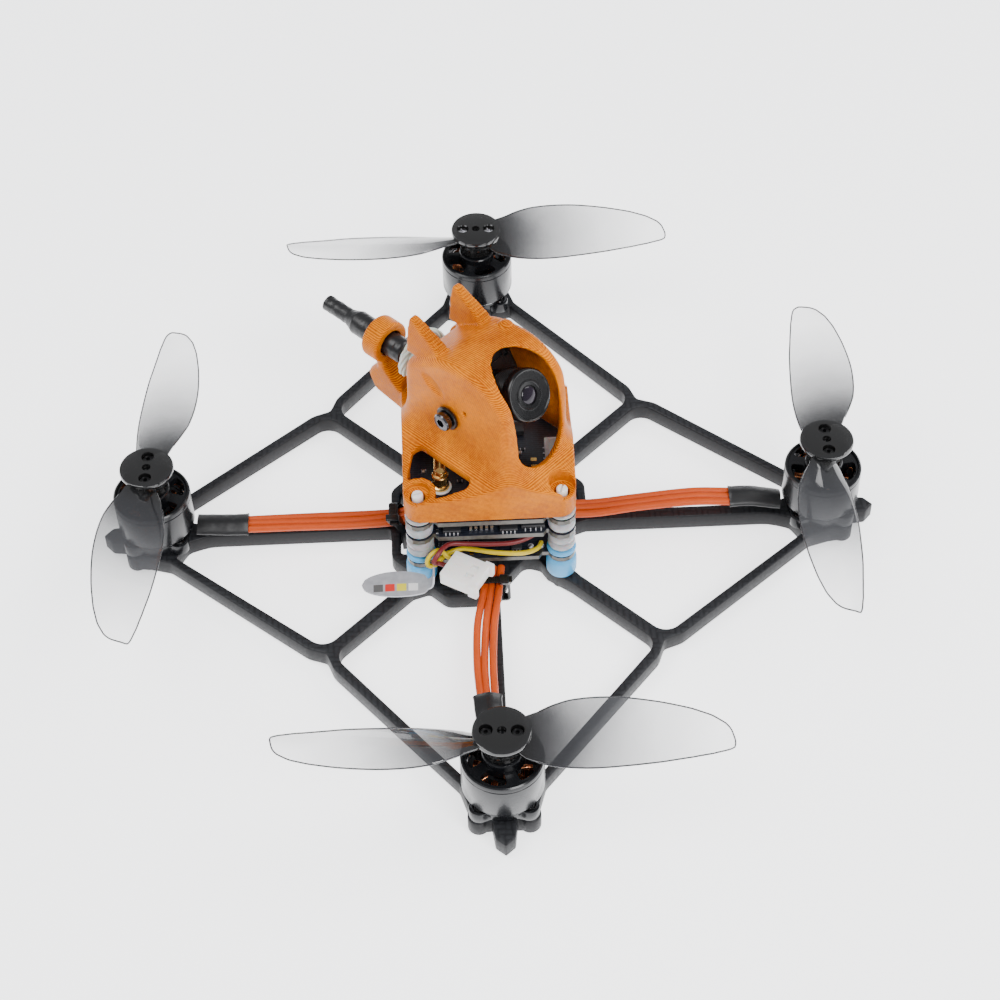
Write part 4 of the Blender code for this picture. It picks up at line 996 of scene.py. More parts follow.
def painted_edge_line_bm(sense):
    """A thin dark bead round a blade's outline: a painted dark line standing in for the edge darkening that
    refraction gives in clear plastic.
    """
    radii = [6.0 + (37.4 - 6.0) * k / 40 for k in range(41)] + [37.8]
    lead, trail = [], []
    for radius in radii:
        a, a_z, b, b_z, _ = blade_station(radius)
        lead.append(Vector((radius, sense * a, a_z)))
        trail.append(Vector((radius, sense * b, b_z)))
    a, a_z, b, b_z, _ = blade_station(PROP_RADIUS)
    tip = [Vector((PROP_RADIUS, sense * (a * (1 - t) + b * t), a_z * (1 - t) + b_z * t))
           for t in (0.1, 0.5, 0.9)]
    route = smooth_route([*lead, *tip, *reversed(trail)], 0.6)
    return sweep(route, circle(0.14, 8))


def build_propeller(name, sense, place, heading, screw_mat):
    body = f"rotor_{name}"
    hub = turned([(0.78, 21.65), (4.6, 21.7), (4.82, 21.62), (4.92, 21.4), (4.88, 20.9), (4.5, 20.3),
                  (3.7, 18.9), (3.3, 18.1), (3.15, 17.2), (3.12, 16.45), (3.0, 16.35), (0.78, 16.35)], 72)
    steps = [(JOIN, blade_bm(sense), place_of_blade) for place_of_blade in (UNMOVED, HALF_TURN)]
    for side in (-1, 1):
        bore = turned([(0, 24), (1.15, 24), (1.15, 20.2), (0.95, 20.0), (0.95, 16), (0, 16)], 32)
        steps.append((CUT, bore, at(side * 2.6)))
    steps.append((CUT, rod(0.78, 24, 20.7, 32), UNMOVED))
    solid(f"propeller_looks_{name}", hub, "blade", steps, place, (0, 0, heading), smooth=30, body=body,
          replaces=(f"propeller_{name}",))
    # Painted dark edge lines round both blades.
    rims = painted_edge_line_bm(sense)
    merge(rims, painted_edge_line_bm(sense), HALF_TURN)
    piece(f"propeller_painted_edge_lines_{name}", rims, "rim", place, (0, 0, heading), smooth=60, body=body)
    screws = bmesh.new()
    for side in (-1, 1):
        head = turned([(0, 20.5), (0.35, 20.5), (0.42, 21.1), (0.85, 21.05), (1.0, 20.8), (1.0, 20.1),
                       (0.7, 20.05), (0.7, 16.4), (0, 16.4)], 24)
        merge(screws, head, at(side * 2.6))
    piece(f"propeller_screws_{name}", screws, screw_mat, place, (0, 0, heading), body=body)


def build_motors():
    for name, degrees, sense, blade_heading in CORNERS:
        angle = math.radians(degrees)
        place = arm_place(MOTOR_REACH * math.cos(angle), MOTOR_REACH * math.sin(angle))
        build_motor_base(name, place, ARM_TURN + angle)
        build_stator(name, place)
        build_bell(name, place, ARM_TURN + angle + 0.3)
        screw_mat = "steel" if name == "rear_left" else "gloss_black"
        build_propeller(name, sense, place, ARM_TURN + math.radians(blade_heading), screw_mat)


# ---------------------------------------------------------------- motor leads

LEAD_ROUTES = {
    # distance out, offset to the left, height, and how far apart the three leads lie there
    "front_left": ((45.8, 0.6, 6.4, 1.25), (38, 0.7, 6.7, 1.3), (28, 0.5, 6.1, 1.35), (20, 0.1, 5.4, 1.3),
                   (13.8, 0.0, 5.6, 1.3)),
    "rear_left": ((45.8, 0.0, 5.4, 1.25), (36, -0.4, 5.5, 1.35), (26, -0.4, 5.3, 1.35), (19, 0.0, 5.1, 1.3),
                  (13.8, 0.0, 5.6, 1.3)),
    "rear_right": ((45.8, 0.3, 5.3, 1.25), (36, 0.4, 5.3, 1.35), (26, 0.3, 5.2, 1.35), (19, 0.1, 5.1, 1.3),
                   (13.8, 0.0, 5.6, 1.3)),
    "front_right": ((43.8, -1.9, 5.6, 1.2), (36, -2.1, 5.6, 1.45), (27, -1.6, 5.7, 1.45),
                    (20, -0.5, 5.4, 1.3), (13.8, 0.3, 5.8, 1.3)),
}
SHRINK_END = 54.4


def build_leads():
    rng = random.Random(7)
    for name, degrees, _, _ in CORNERS:
        spin = (0, 0, ARM_TURN + math.radians(degrees))
        wires = bmesh.new()
        for lane in (-1, 0, 1):
            route = []
            for out, offset, height, spread in LEAD_ROUTES[name]:
                wander = rng.uniform(-0.12, 0.12)
                route.append((out, offset + lane * spread + wander, height + rng.uniform(-0.1, 0.15)))
            merge(wires, sweep(smooth_route(route, 0.9), circle(0.68, 16)))
        piece(f"leads_{name}", wires, "orange_wire", rotation=spin, smooth=60,
              replaces=(f"motor_leads_{name}",))
        out, offset, height, _ = LEAD_ROUTES[name][0]
        out -= 0.9
        route = smooth_route([(out, offset, height), (out + 4.0, offset * 0.9, height + 0.05),
                              (SHRINK_END, offset * 0.3, 5.6)], 0.35)
        sections = []
        for i, place in enumerate(route):
            share = i / (len(route) - 1)
            along = heading_at(route, i)
            across = Vector((-along.y, along.x, 0)).normalized()
            rise = along.cross(across)
            ring = []
            for k in range(36):
                angle = TAU * k / 36
                ripple = 0.10 * math.cos(3 * angle + 0.4) * math.cos(angle) + 0.05 * noise.noise(
                    Vector((share * 9, math.cos(angle) * 2, math.sin(angle) * 2 + degrees)))
                lobes = 0.16 * abs(math.sin(1.5 * (angle - math.pi / 2)))
                flare = 0.12 * math.exp(-(share / 0.03) ** 2)
                width = 2.42 - 0.15 * share + ripple + flare
                tall = 1.14 - lobes * 0.6 + ripple + flare
                ring.append(place + across * (width * math.cos(angle)) + rise * (tall * math.sin(angle)))
            sections.append(ring)
        piece(f"shrink_{name}", skin(sections), "shrink", rotation=spin, smooth=60,
              replaces=(f"heat_shrink_{name}",))


TIE_REACH = 15.6
TIE_LEAN = 0.62
TIE_PINCH = 0.18


def build_zip_ties():
    """Bands that stand in the hub slots and lean out along the arm over the leads."""
    for name, degrees in (("rear_right", 180), ("front_right", 270)):
        spin = (0, 0, ARM_TURN + math.radians(degrees))
        path = rounded([(-3.05, -0.55, 0.6), (3.05, -0.55, 0.6), (3.05, 3.8, 0.0), (3.05, 4.6, 0.0),
                        (3.05, 7.05, 1.6), (-3.05, 7.05, 1.6), (-3.05, 4.6, 0.0), (-3.05, 3.8, 0.0)], step=8)
        outer = inset(path, -0.25)
        inner = inset(path, 0.25)
        band = slab(outer, [inner], -0.78, 0.78, 0.08)
        for k in range(9):
            ridge = [(-1.9 + k * 0.44, 7.22), (-1.66 + k * 0.44, 7.22), (-1.7 + k * 0.44, 7.36),
                     (-1.86 + k * 0.44, 7.36)]
            merge(band, slab(ridge, [], -0.5, 0.5))
        head = slab(rounded(oblong(1.5, 3.5, 6.2, 7.6, 0.3)), [], -1.15, 1.15, 0.12)
        merge(band, head)
        tail = slab(rounded([(3.3, 6.6, 0.05), (4.3, 6.7, 0.1), (4.3, 7.1, 0.1), (3.3, 7.1, 0.05)]),
                    [], -0.7, 0.7)
        merge(band, tail)
        band.transform(Matrix(((0, 0, 1, TIE_REACH), (1, 0, 0, 0), (0, 1, 0, 0), (0, 0, 0, 1))))
        for vert in band.verts:
            raised = max(0.0, vert.co.z - PLATE_TOP)
            vert.co.x += TIE_LEAN * raised
            vert.co.y *= 1.0 - TIE_PINCH * min(1.0, raised / 1.5)
        piece(f"tie_{name}", band, "tie", rotation=spin, smooth=40, replaces=(f"zip_tie_{name}",))


# ---------------------------------------------------------------- board stack

def bulge(bottom, top, radius, depth, steps=6):
    """Points up one rounded rib."""
    return [(radius - depth * (1 - math.sin(math.pi * k / steps) ** 0.6), bottom + (top - bottom) * k / steps)
            for k in range(steps + 1)]


def build_posts():
    grommet = [(1.25, 3.8), (2.3, 3.8), (2.6, 3.95), (2.75, 4.3), (2.8, 5.5), (2.78, 7.0), (2.65, 7.75),
               (2.35, 8.05), (1.6, 8.1), (1.6, 9.4), (2.3, 9.45), (2.6, 9.65), (2.68, 10.0), (2.55, 10.3),
               (2.3, 10.45), (1.25, 10.45)]
    sleeve = [(1.25, 10.75)] + bulge(10.75, 12.5, 2.5, 0.35) + bulge(12.5, 14.25, 2.5, 0.35)
    sleeve += [(1.6, 14.3), (1.6, 15.7)] + bulge(15.75, 17.95, 2.5, 0.35)
    sleeve += [(1.6, 18.0), (1.6, 19.4)] + bulge(19.45, 20.2, 2.5, 0.25) + [(1.25, 20.2)]
    screw = [(0.0, 0.4), (0.9, 0.4), (0.9, 23.6), (0.98, 23.65), (1.03, 23.8), (1.03, 25.1), (0.96, 25.35),
             (0.8, 25.48), (0.0, 25.5)]
    slot = oblong(-2.0, 2.0, -0.2, 0.2)
    for k, name in enumerate(POST_NAMES):
        x, y, _ = turn([(POST, POST, 0)], math.radians(90 * k))[0]
        place = arm_place(x, y)
        piece(f"damper_{name}", turned(grommet, 56), "blue", place, smooth=40,
              replaces=(f"damper_grommet_{name}",))
        piece(f"sleeve_{name}", turned(sleeve, 56), "silicone", place, smooth=50,
              replaces=(f"clear_sleeve_{name}",))
        solid(f"screw_{name}", turned(screw, 40), "nylon",
              [(CUT, slab(slot, [], 24.9, 26), at(spin=0.6 + k))], place,
              replaces=(f"stack_screw_{name}",))


def chip(length, width, height, pins=0):
    """A moulded chip: bevelled block and, when asked, gull-wing pins on two sides."""
    outline = rounded(oblong(-length / 2, length / 2, -width / 2, width / 2, 0.1), step=45)
    bm = slab(outline, [], 0.08, height, 0.06)
    legs = bmesh.new()
    for k in range(pins):
        x = (k + 0.5) / pins * length * 0.9 - length * 0.45
        for side in (-1, 1):
            y = side * width / 2
            route = [Vector((x, y, height * 0.5)), Vector((x, y + side * 0.22, height * 0.5)),
                     Vector((x, y + side * 0.3, 0.05)), Vector((x, y + side * 0.55, 0.04))]
            merge(legs, sweep(route, oblong(-0.1, 0.1, -0.04, 0.04)))
    return bm, legs


def populate(name, layout, height, spin, under=False):
    """Fill one face of a board from a list of (kind, x, y, turn) entries."""
    groups = {group: bmesh.new() for group in ("chip", "solder", "ceramic", "gold", "nylon")}
    for kind, x, y, degrees in layout:
        place = at(x, y, 0.0, math.radians(degrees))
        if kind == "cap":
            body = slab(rounded(oblong(-0.28, 0.28, -0.25, 0.25, 0.05), step=45), [], 0.05, 0.5, 0.05)
            merge(groups["ceramic"], body, place)
            for side in (-1, 1):
                end = oblong(side * 0.28, side * 0.5, -0.26, 0.26)
                merge(groups["solder"], slab(end, [], 0.02, 0.53, 0.04), place)
        elif kind == "resistor":
            merge(groups["chip"], slab(oblong(-0.3, 0.3, -0.25, 0.25), [], 0.03, 0.3), place)
            for side in (-1, 1):
                end = oblong(side * 0.3, side * 0.5, -0.26, 0.26)
                merge(groups["solder"], slab(end, [], 0.02, 0.32, 0.03), place)
        elif kind == "pad":
            pad = slab(rounded(oblong(-0.55, 0.55, -0.4, 0.4, 0.15), step=30), [], 0.0, 0.06)
            merge(groups["gold"], pad, place)
        elif kind == "blob":
            blob = turned([(0, 0), (0.6, 0), (0.5, 0.25), (0.25, 0.42), (0, 0.46)], 20)
            merge(groups["solder"], blob, place)
        elif kind == "socket":
            mouth = rounded(oblong(-0.9, 1.2, -2.6, 2.6, 0.1), step=45)
            shell = slab(rounded(oblong(-1.6, 1.6, -3.1, 3.1, 0.15), step=45), [mouth], 0.4, 1.8, 0.08)
            merge(shell, slab(oblong(-1.55, 1.55, -3.05, 3.05), [], 0.05, 0.4))
            merge(groups["nylon"], shell, place)
            for k in range(4):
                pin = oblong(-1.9, 0.9, -0.12, 0.12)
                merge(groups["solder"], slab(pin, [], 0.02, 0.18), place @ at(0, -1.95 + 1.3 * k))
        else:
            length, width, tall, pins = {"big": (5.0, 5.0, 0.9, 0), "driver": (3.2, 3.0, 0.75, 4),
                                         "flash": (4.2, 3.2, 1.0, 4), "small": (1.9, 1.3, 0.75, 3),
                                         "coil": (2.6, 2.4, 1.3, 0)}[kind]
            body, legs = chip(length, width, tall, pins)
            merge(groups["chip"], body, place)
            merge(groups["solder"], legs, place)
    if under:
        flip = Matrix.Rotation(math.pi, 4, "X")
        for bm in groups.values():
            bm.transform(flip)
    for group, bm in groups.items():
        if bm.verts:
            piece(f"{name}_{group}", bm, group, (0, 0, height), (0, 0, spin), smooth=30)


def scatter(seed, count, half, keep_clear=()):
    """Small parts in loose rows, away from the posts and from the larger parts."""
    rng = random.Random(seed)
    layout, tries = [], 0
    while len(layout) < count and tries < 4000:
        tries += 1
        x = round(rng.uniform(-half, half) / 0.65) * 0.65
        y = round(rng.uniform(-half, half) / 0.9) * 0.9
        if abs(x) > 9.6 and abs(y) > 9.6:
            continue
        if any(abs(x - cx) < w and abs(y - cy) < h for cx, cy, w, h in keep_clear):
            continue
        if any(abs(x - px) < 1.25 and abs(y - py) < 0.85 for _, px, py, _ in layout):
            continue
        kind = rng.choice(("cap", "cap", "resistor", "resistor", "small"))
        layout.append((kind, x, y, rng.choice((0, 0, 180))))
        if layout[-1][0] == "small" and (abs(x) > 12.4 or abs(y) > 12.4):
            layout[-1] = ("resistor", x, y, 0)
    return layout


def build_boards():
    for node in ("flight_controller_board", "power_board", "video_board"):
        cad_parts[node].data.materials.clear()
        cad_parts[node].data.materials.append(MATERIALS["board"])
    spin = ARM_TURN
    front = [("cap", -7.5 + 1.3 * k, -13.6, 90) for k in range(11)]
    top = [("socket", 12.1, 0.9, 0), ("big", -1.0, -3.0, 45), ("coil", 5.6, 7.4, 0), ("flash", -5.5, 7.5, 0),
           ("driver", 2.0, 4.5, 0)]
    top += [("pad", 8.4, -3.2 + 1.7 * k, 0) for k in range(3)]
    top += [("pad", 8.6, -7.6, 0), ("pad", 8.6, -9.2, 0)]
    top += scatter(3, 40, 12.6, ((12.1, 0.9, 3.0, 4.2), (-1, -3, 4.2, 4.2), (5.6, 7.4, 2.2, 2.0),
                                 (-5.5, 7.5, 3.2, 2.8), (2.0, 4.5, 2.6, 2.4), (8.5, -3.5, 1.6, 6.6),
                                 (-8.7, -6.1, 3.2, 3.2), (-8.8, -2.5, 2.2, 3.4)))
    populate("video_top", top, 19.2, spin)
    populate("video_front", front + [("driver", 9.0, -11.5, 0)], 18.2, spin, under=True)
    row = [("driver", -7.0, -12.2, 0), ("driver", 3.2, -12.3, 0), ("flash", 7.6, -11.8, 0)]
    row += [("cap", -3.6 + 0.95 * k, -12.9, 90) for k in range(5)] + [("resistor", -9.6, -13.2, 90)]
    row += scatter(5, 34, 12.4, ((-7, -12.2, 3.0, 2.6), (3.2, -12.3, 3.0, 2.6), (7.6, -11.8, 3.4, 2.6),
                                 (-1.6, -12.9, 3.2, 1.6)))
    populate("power_top", row, 15.5, spin)
    low = [("pad", -6.0 + 2.4 * k, -12.9, 90) for k in range(3)]
    low += [("blob", 9.1, -12.0, 0), ("blob", 7.2, -12.0, 0)]
    low += [("driver", -8.4, 11.2, 0), ("driver", 8.0, 11.0, 0), ("big", 0, 0, 0), ("driver", 0.0, -9.6, 0)]
    low += [("small", 4.6, -12.4, 0), ("cap", -9.2, -12.8, 90)]
    low += scatter(11, 40, 12.6, ((0, 0, 4.2, 4.2), (-8.4, 11.2, 3, 2.8), (8, 11, 3, 2.8),
                                  (0, -9.6, 3.0, 2.8), (-3.6, -12.9, 4.6, 1.6), (8.2, -12.2, 2.6, 2.0),
                                  (4.6, -12.4, 2.2, 1.4)))
    populate("flight_top", low, 9.2, spin)


# --------------------------------------------------------------------- canopy

SIDE_HALF = 8.0
SHELF_TOP = 25.6
SKIRT_HALF = 15.3
SKIRT_BOTTOM = 20.4
WALL = 1.1
ROOF = ((-13.2, 35.5), (-12.9, 39.0), (-12.2, 42.6), (-11.3, 45.0), (-9.0, 47.5), (-6.0, 48.9), (-2.5, 49.3),
        (3.0, 48.4), (7.0, 46.4), (11.0, 43.6), (12.2, 42.2), (13.0, 39.5))
FLARE = ((13.5, SHELF_TOP), (10.5, SHELF_TOP + 0.15), (8.6, SHELF_TOP + 0.4), (6.8, 26.35), (5.2, 26.9),
         (3.6, 27.5), (2.4, 28.2), (1.7, 28.9), (1.2, 29.8), (0.85, 30.6), (0.6, 31.5), (0.38, 32.5),
         (0.2, 33.6))
TOWER_FRONT = -13.1
TOWER_REAR = 12.9
TOWER_CORNER = 2.6


def roof_height(y):
    """The roof's side view as a smooth curve through its own points."""
    if y <= ROOF[0][0]:
        return ROOF[0][1]
    for k, ((y0, z0), (y1, z1)) in enumerate(zip(ROOF, ROOF[1:])):
        if y <= y1:
            before = ROOF[max(k - 1, 0)]
            after = ROOF[min(k + 2, len(ROOF) - 1)]
            t = (y - y0) / (y1 - y0)
            span = y1 - y0
            start = (z1 - before[1]) / (y1 - before[0]) * span
            end = (after[1] - z0) / (after[0] - y0) * span
            return ((2 * t ** 3 - 3 * t ** 2 + 1) * z0 + (t ** 3 - 2 * t ** 2 + t) * start
                    + (3 * t ** 2 - 2 * t ** 3) * z1 + (t ** 3 - t ** 2) * end)
    return ROOF[-1][1]


def tower_ring(spread):
    radius = TOWER_CORNER + spread
    x = SIDE_HALF - TOWER_CORNER
    front, rear = TOWER_FRONT + TOWER_CORNER, TOWER_REAR - TOWER_CORNER
    stations = [front + (rear - front) * k / 26 for k in range(1, 26)]
    port = arc(x, rear, radius, 90, 0, 10) + [(x + radius, y) for y in reversed(stations)]
    port += arc(x, front, radius, 0, -90, 10)
    return port + [(-px, py) for px, py in reversed(port)]


def helmet_bm(wall):
    rings = [[(x, y, SKIRT_BOTTOM - 3 * wall) for x, y in tower_ring(13.5 - wall)]]
    for spread, height in FLARE:
        rings.append([(x, y, height - wall) for x, y in tower_ring(spread - wall)])
    drops = ((0.0, 1.5), (-0.06, 1.15), (-0.25, 0.7), (-0.45, 0.42), (-0.7, 0.2), (-1.0, 0.07), (-1.4, 0.0))
    for spread, drop in drops:
        ring = tower_ring(spread - wall)
        rings.append([(x, y, max(34.4 - wall, roof_height(y) - drop - wall)) for x, y in ring])
    bm, verts = tube(rings)
    count = len(verts[0])
    bm.faces.new(verts[0])
    top = verts[-1]
    for i in range(count // 2 - 1):
        bm.faces.new((top[i], top[i + 1], top[count - 2 - i], top[count - 1 - i]))
    return bm


def skirt_bm(corners, bottom, step=10):
    bm = slab(rounded(corners, step=step), [], bottom, 60)
    bm.transform(Matrix.Rotation(ARM_TURN, 4, "Z"))
    return bm


def holder_bm():
    sections = []
    for x, shrink in ((-2.6, 0.6), (-2.3, 0.2), (-1.7, 0.0), (1.7, 0.0), (2.3, 0.2), (2.6, 0.6)):
        outline = rounded([(15.5, 20.4, 0), (19.0, 21.4, 2.0), (26.2, 22.6, 1.8), (28.1, 26.6, 2.0),
                           (25.0, 29.4, 0.8), (27.0, 32.2, 0), (23.8, 32.2, 0), (22.8, 29.6, 1.2),
                           (19.8, 26.8, 2.0), (15.5, 25.2, 0)], step=12)
        if shrink:
            outline = inset(outline, shrink)
        sections.append([(x, y, z) for y, z in outline])
    return skin(sections)


HORN_ROWS = (
    # height, front edge, rear edge and half width of one horn
    (44.5, 3.0, 12.3, 1.5), (46.6, 3.8, 12.2, 1.45), (48.6, 5.2, 12.1, 1.3), (50.6, 8.6, 12.0, 1.05),
    (51.8, 10.5, 11.9, 0.85), (52.2, 10.9, 11.6, 0.6),
)
HORN_SIDE = 5.4
RIDGES = 24
RIDGES_BOTTOM = 47.4
RIDGES_TOP = 51.9


def horn_bm():
    """One horn: broad where it leaves the roof, thin at its rear tip."""
    sections = []
    for z, front, rear, half in HORN_ROWS:
        sections.append(oblong(-half, half, front, rear, z))
    return skin(sections)


def build_horn_ridges():
    """The fine steps that the layers leave on each horn's sloping front edge."""
    bars = bmesh.new()
    for side in (-1, 1):
        for k in range(RIDGES):
            z = RIDGES_BOTTOM + (RIDGES_TOP - RIDGES_BOTTOM) * k / (RIDGES - 1)
            i = 0
            while i < len(HORN_ROWS) - 2 and HORN_ROWS[i + 1][0] < z:
                i += 1
            low, high = HORN_ROWS[i], HORN_ROWS[i + 1]
            t = (z - low[0]) / (high[0] - low[0])
            front = low[1] + (high[1] - low[1]) * t + 0.08
            half = (low[3] + (high[3] - low[3]) * t) * 0.9
            middle = side * HORN_SIDE
            route = [Vector((middle + x, front, z)) for x in (-half, -half + 0.15, half - 0.15, half)]
            merge(bars, sweep(route, circle(0.13, 10), lambda share: 0.5 if share in (0.0, 1.0) else 1.0))
    piece("canopy_horn_ridges", bars, "print", smooth=50)


def ellipsoid(radii, matrix):
    bm = bmesh.new()
    bmesh.ops.create_uvsphere(bm, u_segments=24, v_segments=14, radius=1.0)
    bm.transform(matrix @ Matrix.Diagonal((*radii, 1.0)))
    return bm


def canopy_steps():
    half = SKIRT_HALF - WALL
    cut = 7.6
    inner = []
    for k in range(4):
        inner += turn([(half, half - cut, 0.6), (half - cut, half, 0.6)], math.radians(90 * k))
    square = [(sx * SKIRT_HALF, sy * SKIRT_HALF, 3.2) for sx, sy in ((1, 1), (-1, 1), (-1, -1), (1, -1))]
    on_side = Matrix.Translation((0, RING_REACH, TUBE_HEIGHT)) @ Matrix.Rotation(math.pi / 2, 4, "X")
    hollow = piece("hollow_tool", helmet_bm(WALL), "print", body=None)
    plan = piece("plan_tool", skirt_bm(inner, SKIRT_BOTTOM - 2, 30), "print", body=None)
    modifier = hollow.modifiers.new("plan", "BOOLEAN")
    modifier.operation = KEEP
    modifier.object = plan
    modifier.solver = "MANIFOLD"
    bpy.context.view_layer.update()
    baked = bmesh.new()
    baked.from_object(hollow, bpy.context.evaluated_depsgraph_get())
    baked.transform(Matrix.Scale(1 / MM, 4))
    for tool in (hollow, plan):
        bpy.data.objects.remove(tool)
    steps = [(KEEP, skirt_bm(square, SKIRT_BOTTOM), UNMOVED), (CUT, baked, UNMOVED),
             (JOIN, holder_bm(), UNMOVED)]
    for side in (-1, 1):
        steps.append((JOIN, horn_bm(), at(side * HORN_SIDE)))
    cuff = turned([(0, -1.9), (3.9, -1.9), (4.1, -1.7), (4.1, 1.7), (3.9, 1.9), (0, 1.9)])
    steps.append((JOIN, cuff, on_side))
    steps.append((CUT, rod(2.55, -4, 4), on_side))
    steps.append((CUT, prism(oblong(10.2, 16.5, 29.0, 46.0), 3.9), UNMOVED))
    opening = arc(0, -5.7, 5.7, 180, 360, 9) + arc(0, 5.7, 5.7, 0, 180, 9)
    lean = Matrix.Translation((0, -4.1, 36.9)) @ Matrix.Rotation(math.radians(62), 4, "X")
    steps.append((CUT, slab(opening, [], 0.0, 16.0), lean))
    window = rounded([(-16.9, -3.4, 0.4), (-12.3, -6.6, 0.8), (-10.7, -6.3, 0.9), (-10.7, 6.3, 0.9),
                      (-12.3, 6.6, 0.8), (-16.9, 3.6, 0.4)], step=15)
    window += arc(-math.sqrt(2) * POST, 0, 3.3, 60, -60, 8)
    for spin in (0.0, math.pi):
        steps.append((CUT, slab(window, [], 22.0, 33.0), at(spin=spin)))
    dent = Matrix.Translation((-8.55, 4.9, 42.0)) @ Matrix.Rotation(math.radians(30), 4, "X")
    steps.append((CUT, ellipsoid((1.0, 3.7, 1.7), dent), UNMOVED))
    nub = ellipsoid((1.3, 1.7, 1.5), Matrix.Translation((6.2, 0.4, 48.4)))
    steps.append((JOIN, nub, UNMOVED))
    slot = slab(oblong(-8.9, -6.5, -2.9, -2.1), [], 39.0, 40.2)
    steps.append((CUT, slot, UNMOVED))
    across = Matrix.Translation(CAMERA_PIVOT) @ Matrix.Rotation(math.pi / 2, 4, "Y")
    steps.append((CUT, rod(1.3, -12, 12, 32), across))
    for k in range(4):
        bore = turned([(0, 19), (1.4, 19), (1.4, 24.75), (2.3, 24.75), (2.4, 30), (0, 30)], 40)
        x, y, _ = turn([(POST, POST, 0)], math.radians(90 * k))[0]
        steps.append((CUT, bore, Matrix.Translation(arm_place(x, y))))
    return steps


def soften(obj):
    """Round every edge a little, as a printed part's edges are."""
    remesh = obj.modifiers.new("voxels", "REMESH")
    remesh.mode = "VOXEL"
    remesh.voxel_size = 0.25 * MM
    smooth = obj.modifiers.new("soft", "SMOOTH")
    smooth.factor = 0.5
    smooth.iterations = 5


def build_canopy():
    solid("canopy_looks", helmet_bm(0.0), "print", canopy_steps(), smooth=80, replaces=("canopy",),
          refine=soften, solver="MANIFOLD")
    build_horn_ridges()


# ----------------------------------------------------------- camera and antenna

def build_camera():
    lift = Matrix.Translation(CAMERA_PIVOT) @ Matrix.Rotation(-CAMERA_TILT, 4, "X")
    toward_nose = lift @ Matrix.Rotation(math.pi / 2, 4, "X")
    half = 6.6
    corners = [(x * half, z * half, 1.3) for x, z in ((1, 1), (-1, 1), (-1, -1), (1, -1))]
    body = slab(rounded(corners), [], -4.2, 4.4, 0.45)
    cuts = []
    for side in (-1, 1):
        groove = slab(rounded(oblong(-4.5, 4.5, -0.35, 0.35, 0.1)), [], 4.1, 5)
        cuts.append((CUT, groove, at(0, side * 5.4)))
    for x, y in ((5.2, 5.2), (-5.2, 5.2), (-5.2, -5.2), (5.2, -5.2)):
        cuts.append((CUT, rod(0.65, 3.9, 5, 24), at(x, y)))
    rotation = toward_nose.to_euler()
    solid("camera_case", body, "black_plastic", cuts, CAMERA_PIVOT, rotation, smooth=30, body="camera",
          replaces=("camera_body",))
    barrel = [(0.0, 4.7), (4.1, 4.7), (4.1, 5.6), (3.85, 5.7), (3.85, 7.9), (4.0, 8.05), (4.55, 8.2),
              (4.72, 8.45), (4.75, 8.8)]
    for k in range(6):
        low = 9.0 + 0.5 * k
        barrel += [(4.75, low), (4.66, low + 0.1), (4.66, low + 0.2), (4.75, low + 0.3)]
    barrel += [(4.75, 13.2), (4.68, 13.5), (4.5, 13.7), (4.2, 13.7), (4.1, 13.56), (2.75, 13.5), (2.65, 13.6),
               (2.45, 13.6), (2.35, 13.5), (1.8, 13.45), (1.7, 13.2), (0.0, 13.2)]
    piece("lens_barrel", turned(barrel, 96), "gloss_black", CAMERA_PIVOT, rotation, smooth=30, body="camera",
          replaces=("camera_lens",))
    dome = [(0.0, 13.22), (1.55, 13.22)]
    dome += [(1.55 * math.cos(math.radians(a)), 13.22 + 0.3 * math.sin(math.radians(a)))
             for a in range(10, 90, 10)]
    dome += [(0.0, 13.52)]
    piece("lens_glass", turned(dome, 64), "glass", CAMERA_PIVOT, rotation, smooth=60, body="camera")
    ring = [(4.22, 13.66), (4.3, 13.74), (4.46, 13.76), (4.56, 13.66), (4.46, 13.58), (4.3, 13.58)]
    piece("lens_ring", turned(ring, 96), "gloss_black", CAMERA_PIVOT, rotation, smooth=50, body="camera")
    for side, name in ((-1, "right"), (1, "left")):
        turn_out = (lift @ Matrix.Rotation(side * math.pi / 2, 4, "Y")).to_euler()
        washer = turned([(1.0, 8.35), (2.2, 8.35), (2.35, 8.5), (2.35, 8.8), (2.2, 8.95), (1.0, 8.95)], 48)
        piece(f"camera_washer_{name}", washer, "gloss_black", CAMERA_PIVOT, turn_out, body="camera")
        head = turned([(0.0, 7.0), (0.95, 7.0), (0.95, 9.0), (1.6, 9.0), (1.75, 9.15), (1.75, 10.1),
                       (1.55, 10.35), (0.95, 10.4), (0.0, 10.4)], 48)
        key_socket = slab(circle(0.85, 6), [], 9.5, 11)
        solid(f"camera_pivot_{name}", head, "dark_steel", [(CUT, key_socket, UNMOVED)],
              CAMERA_PIVOT, turn_out, body="camera", replaces=(f"camera_screw_{name}",))


COAX_ROUTE = (
    (0.0, 19.6, 34.1), (0.0, 18.4, 34.1), (-1.4, 17.0, 33.8), (-3.6, 16.2, 34.3), (-4.7, 15.9, 36.2),
    (-3.9, 15.8, 38.8), (-1.6, 15.7, 40.7), (1.3, 15.5, 40.9), (3.7, 15.3, 39.2), (4.6, 14.9, 36.8),
    (3.9, 14.4, 34.7), (2.2, 12.8, 33.3), (0.3, 11.2, 32.2), (-1.6, 10.0, 30.2), (-3.2, 9.2, 27.2),
    (-4.0, 8.2, 24.3), (-5.05, 7.07, 22.6), (-6.85, 5.33, 22.5),
)
PLUG_PLACE = (-10.4, 1.9)


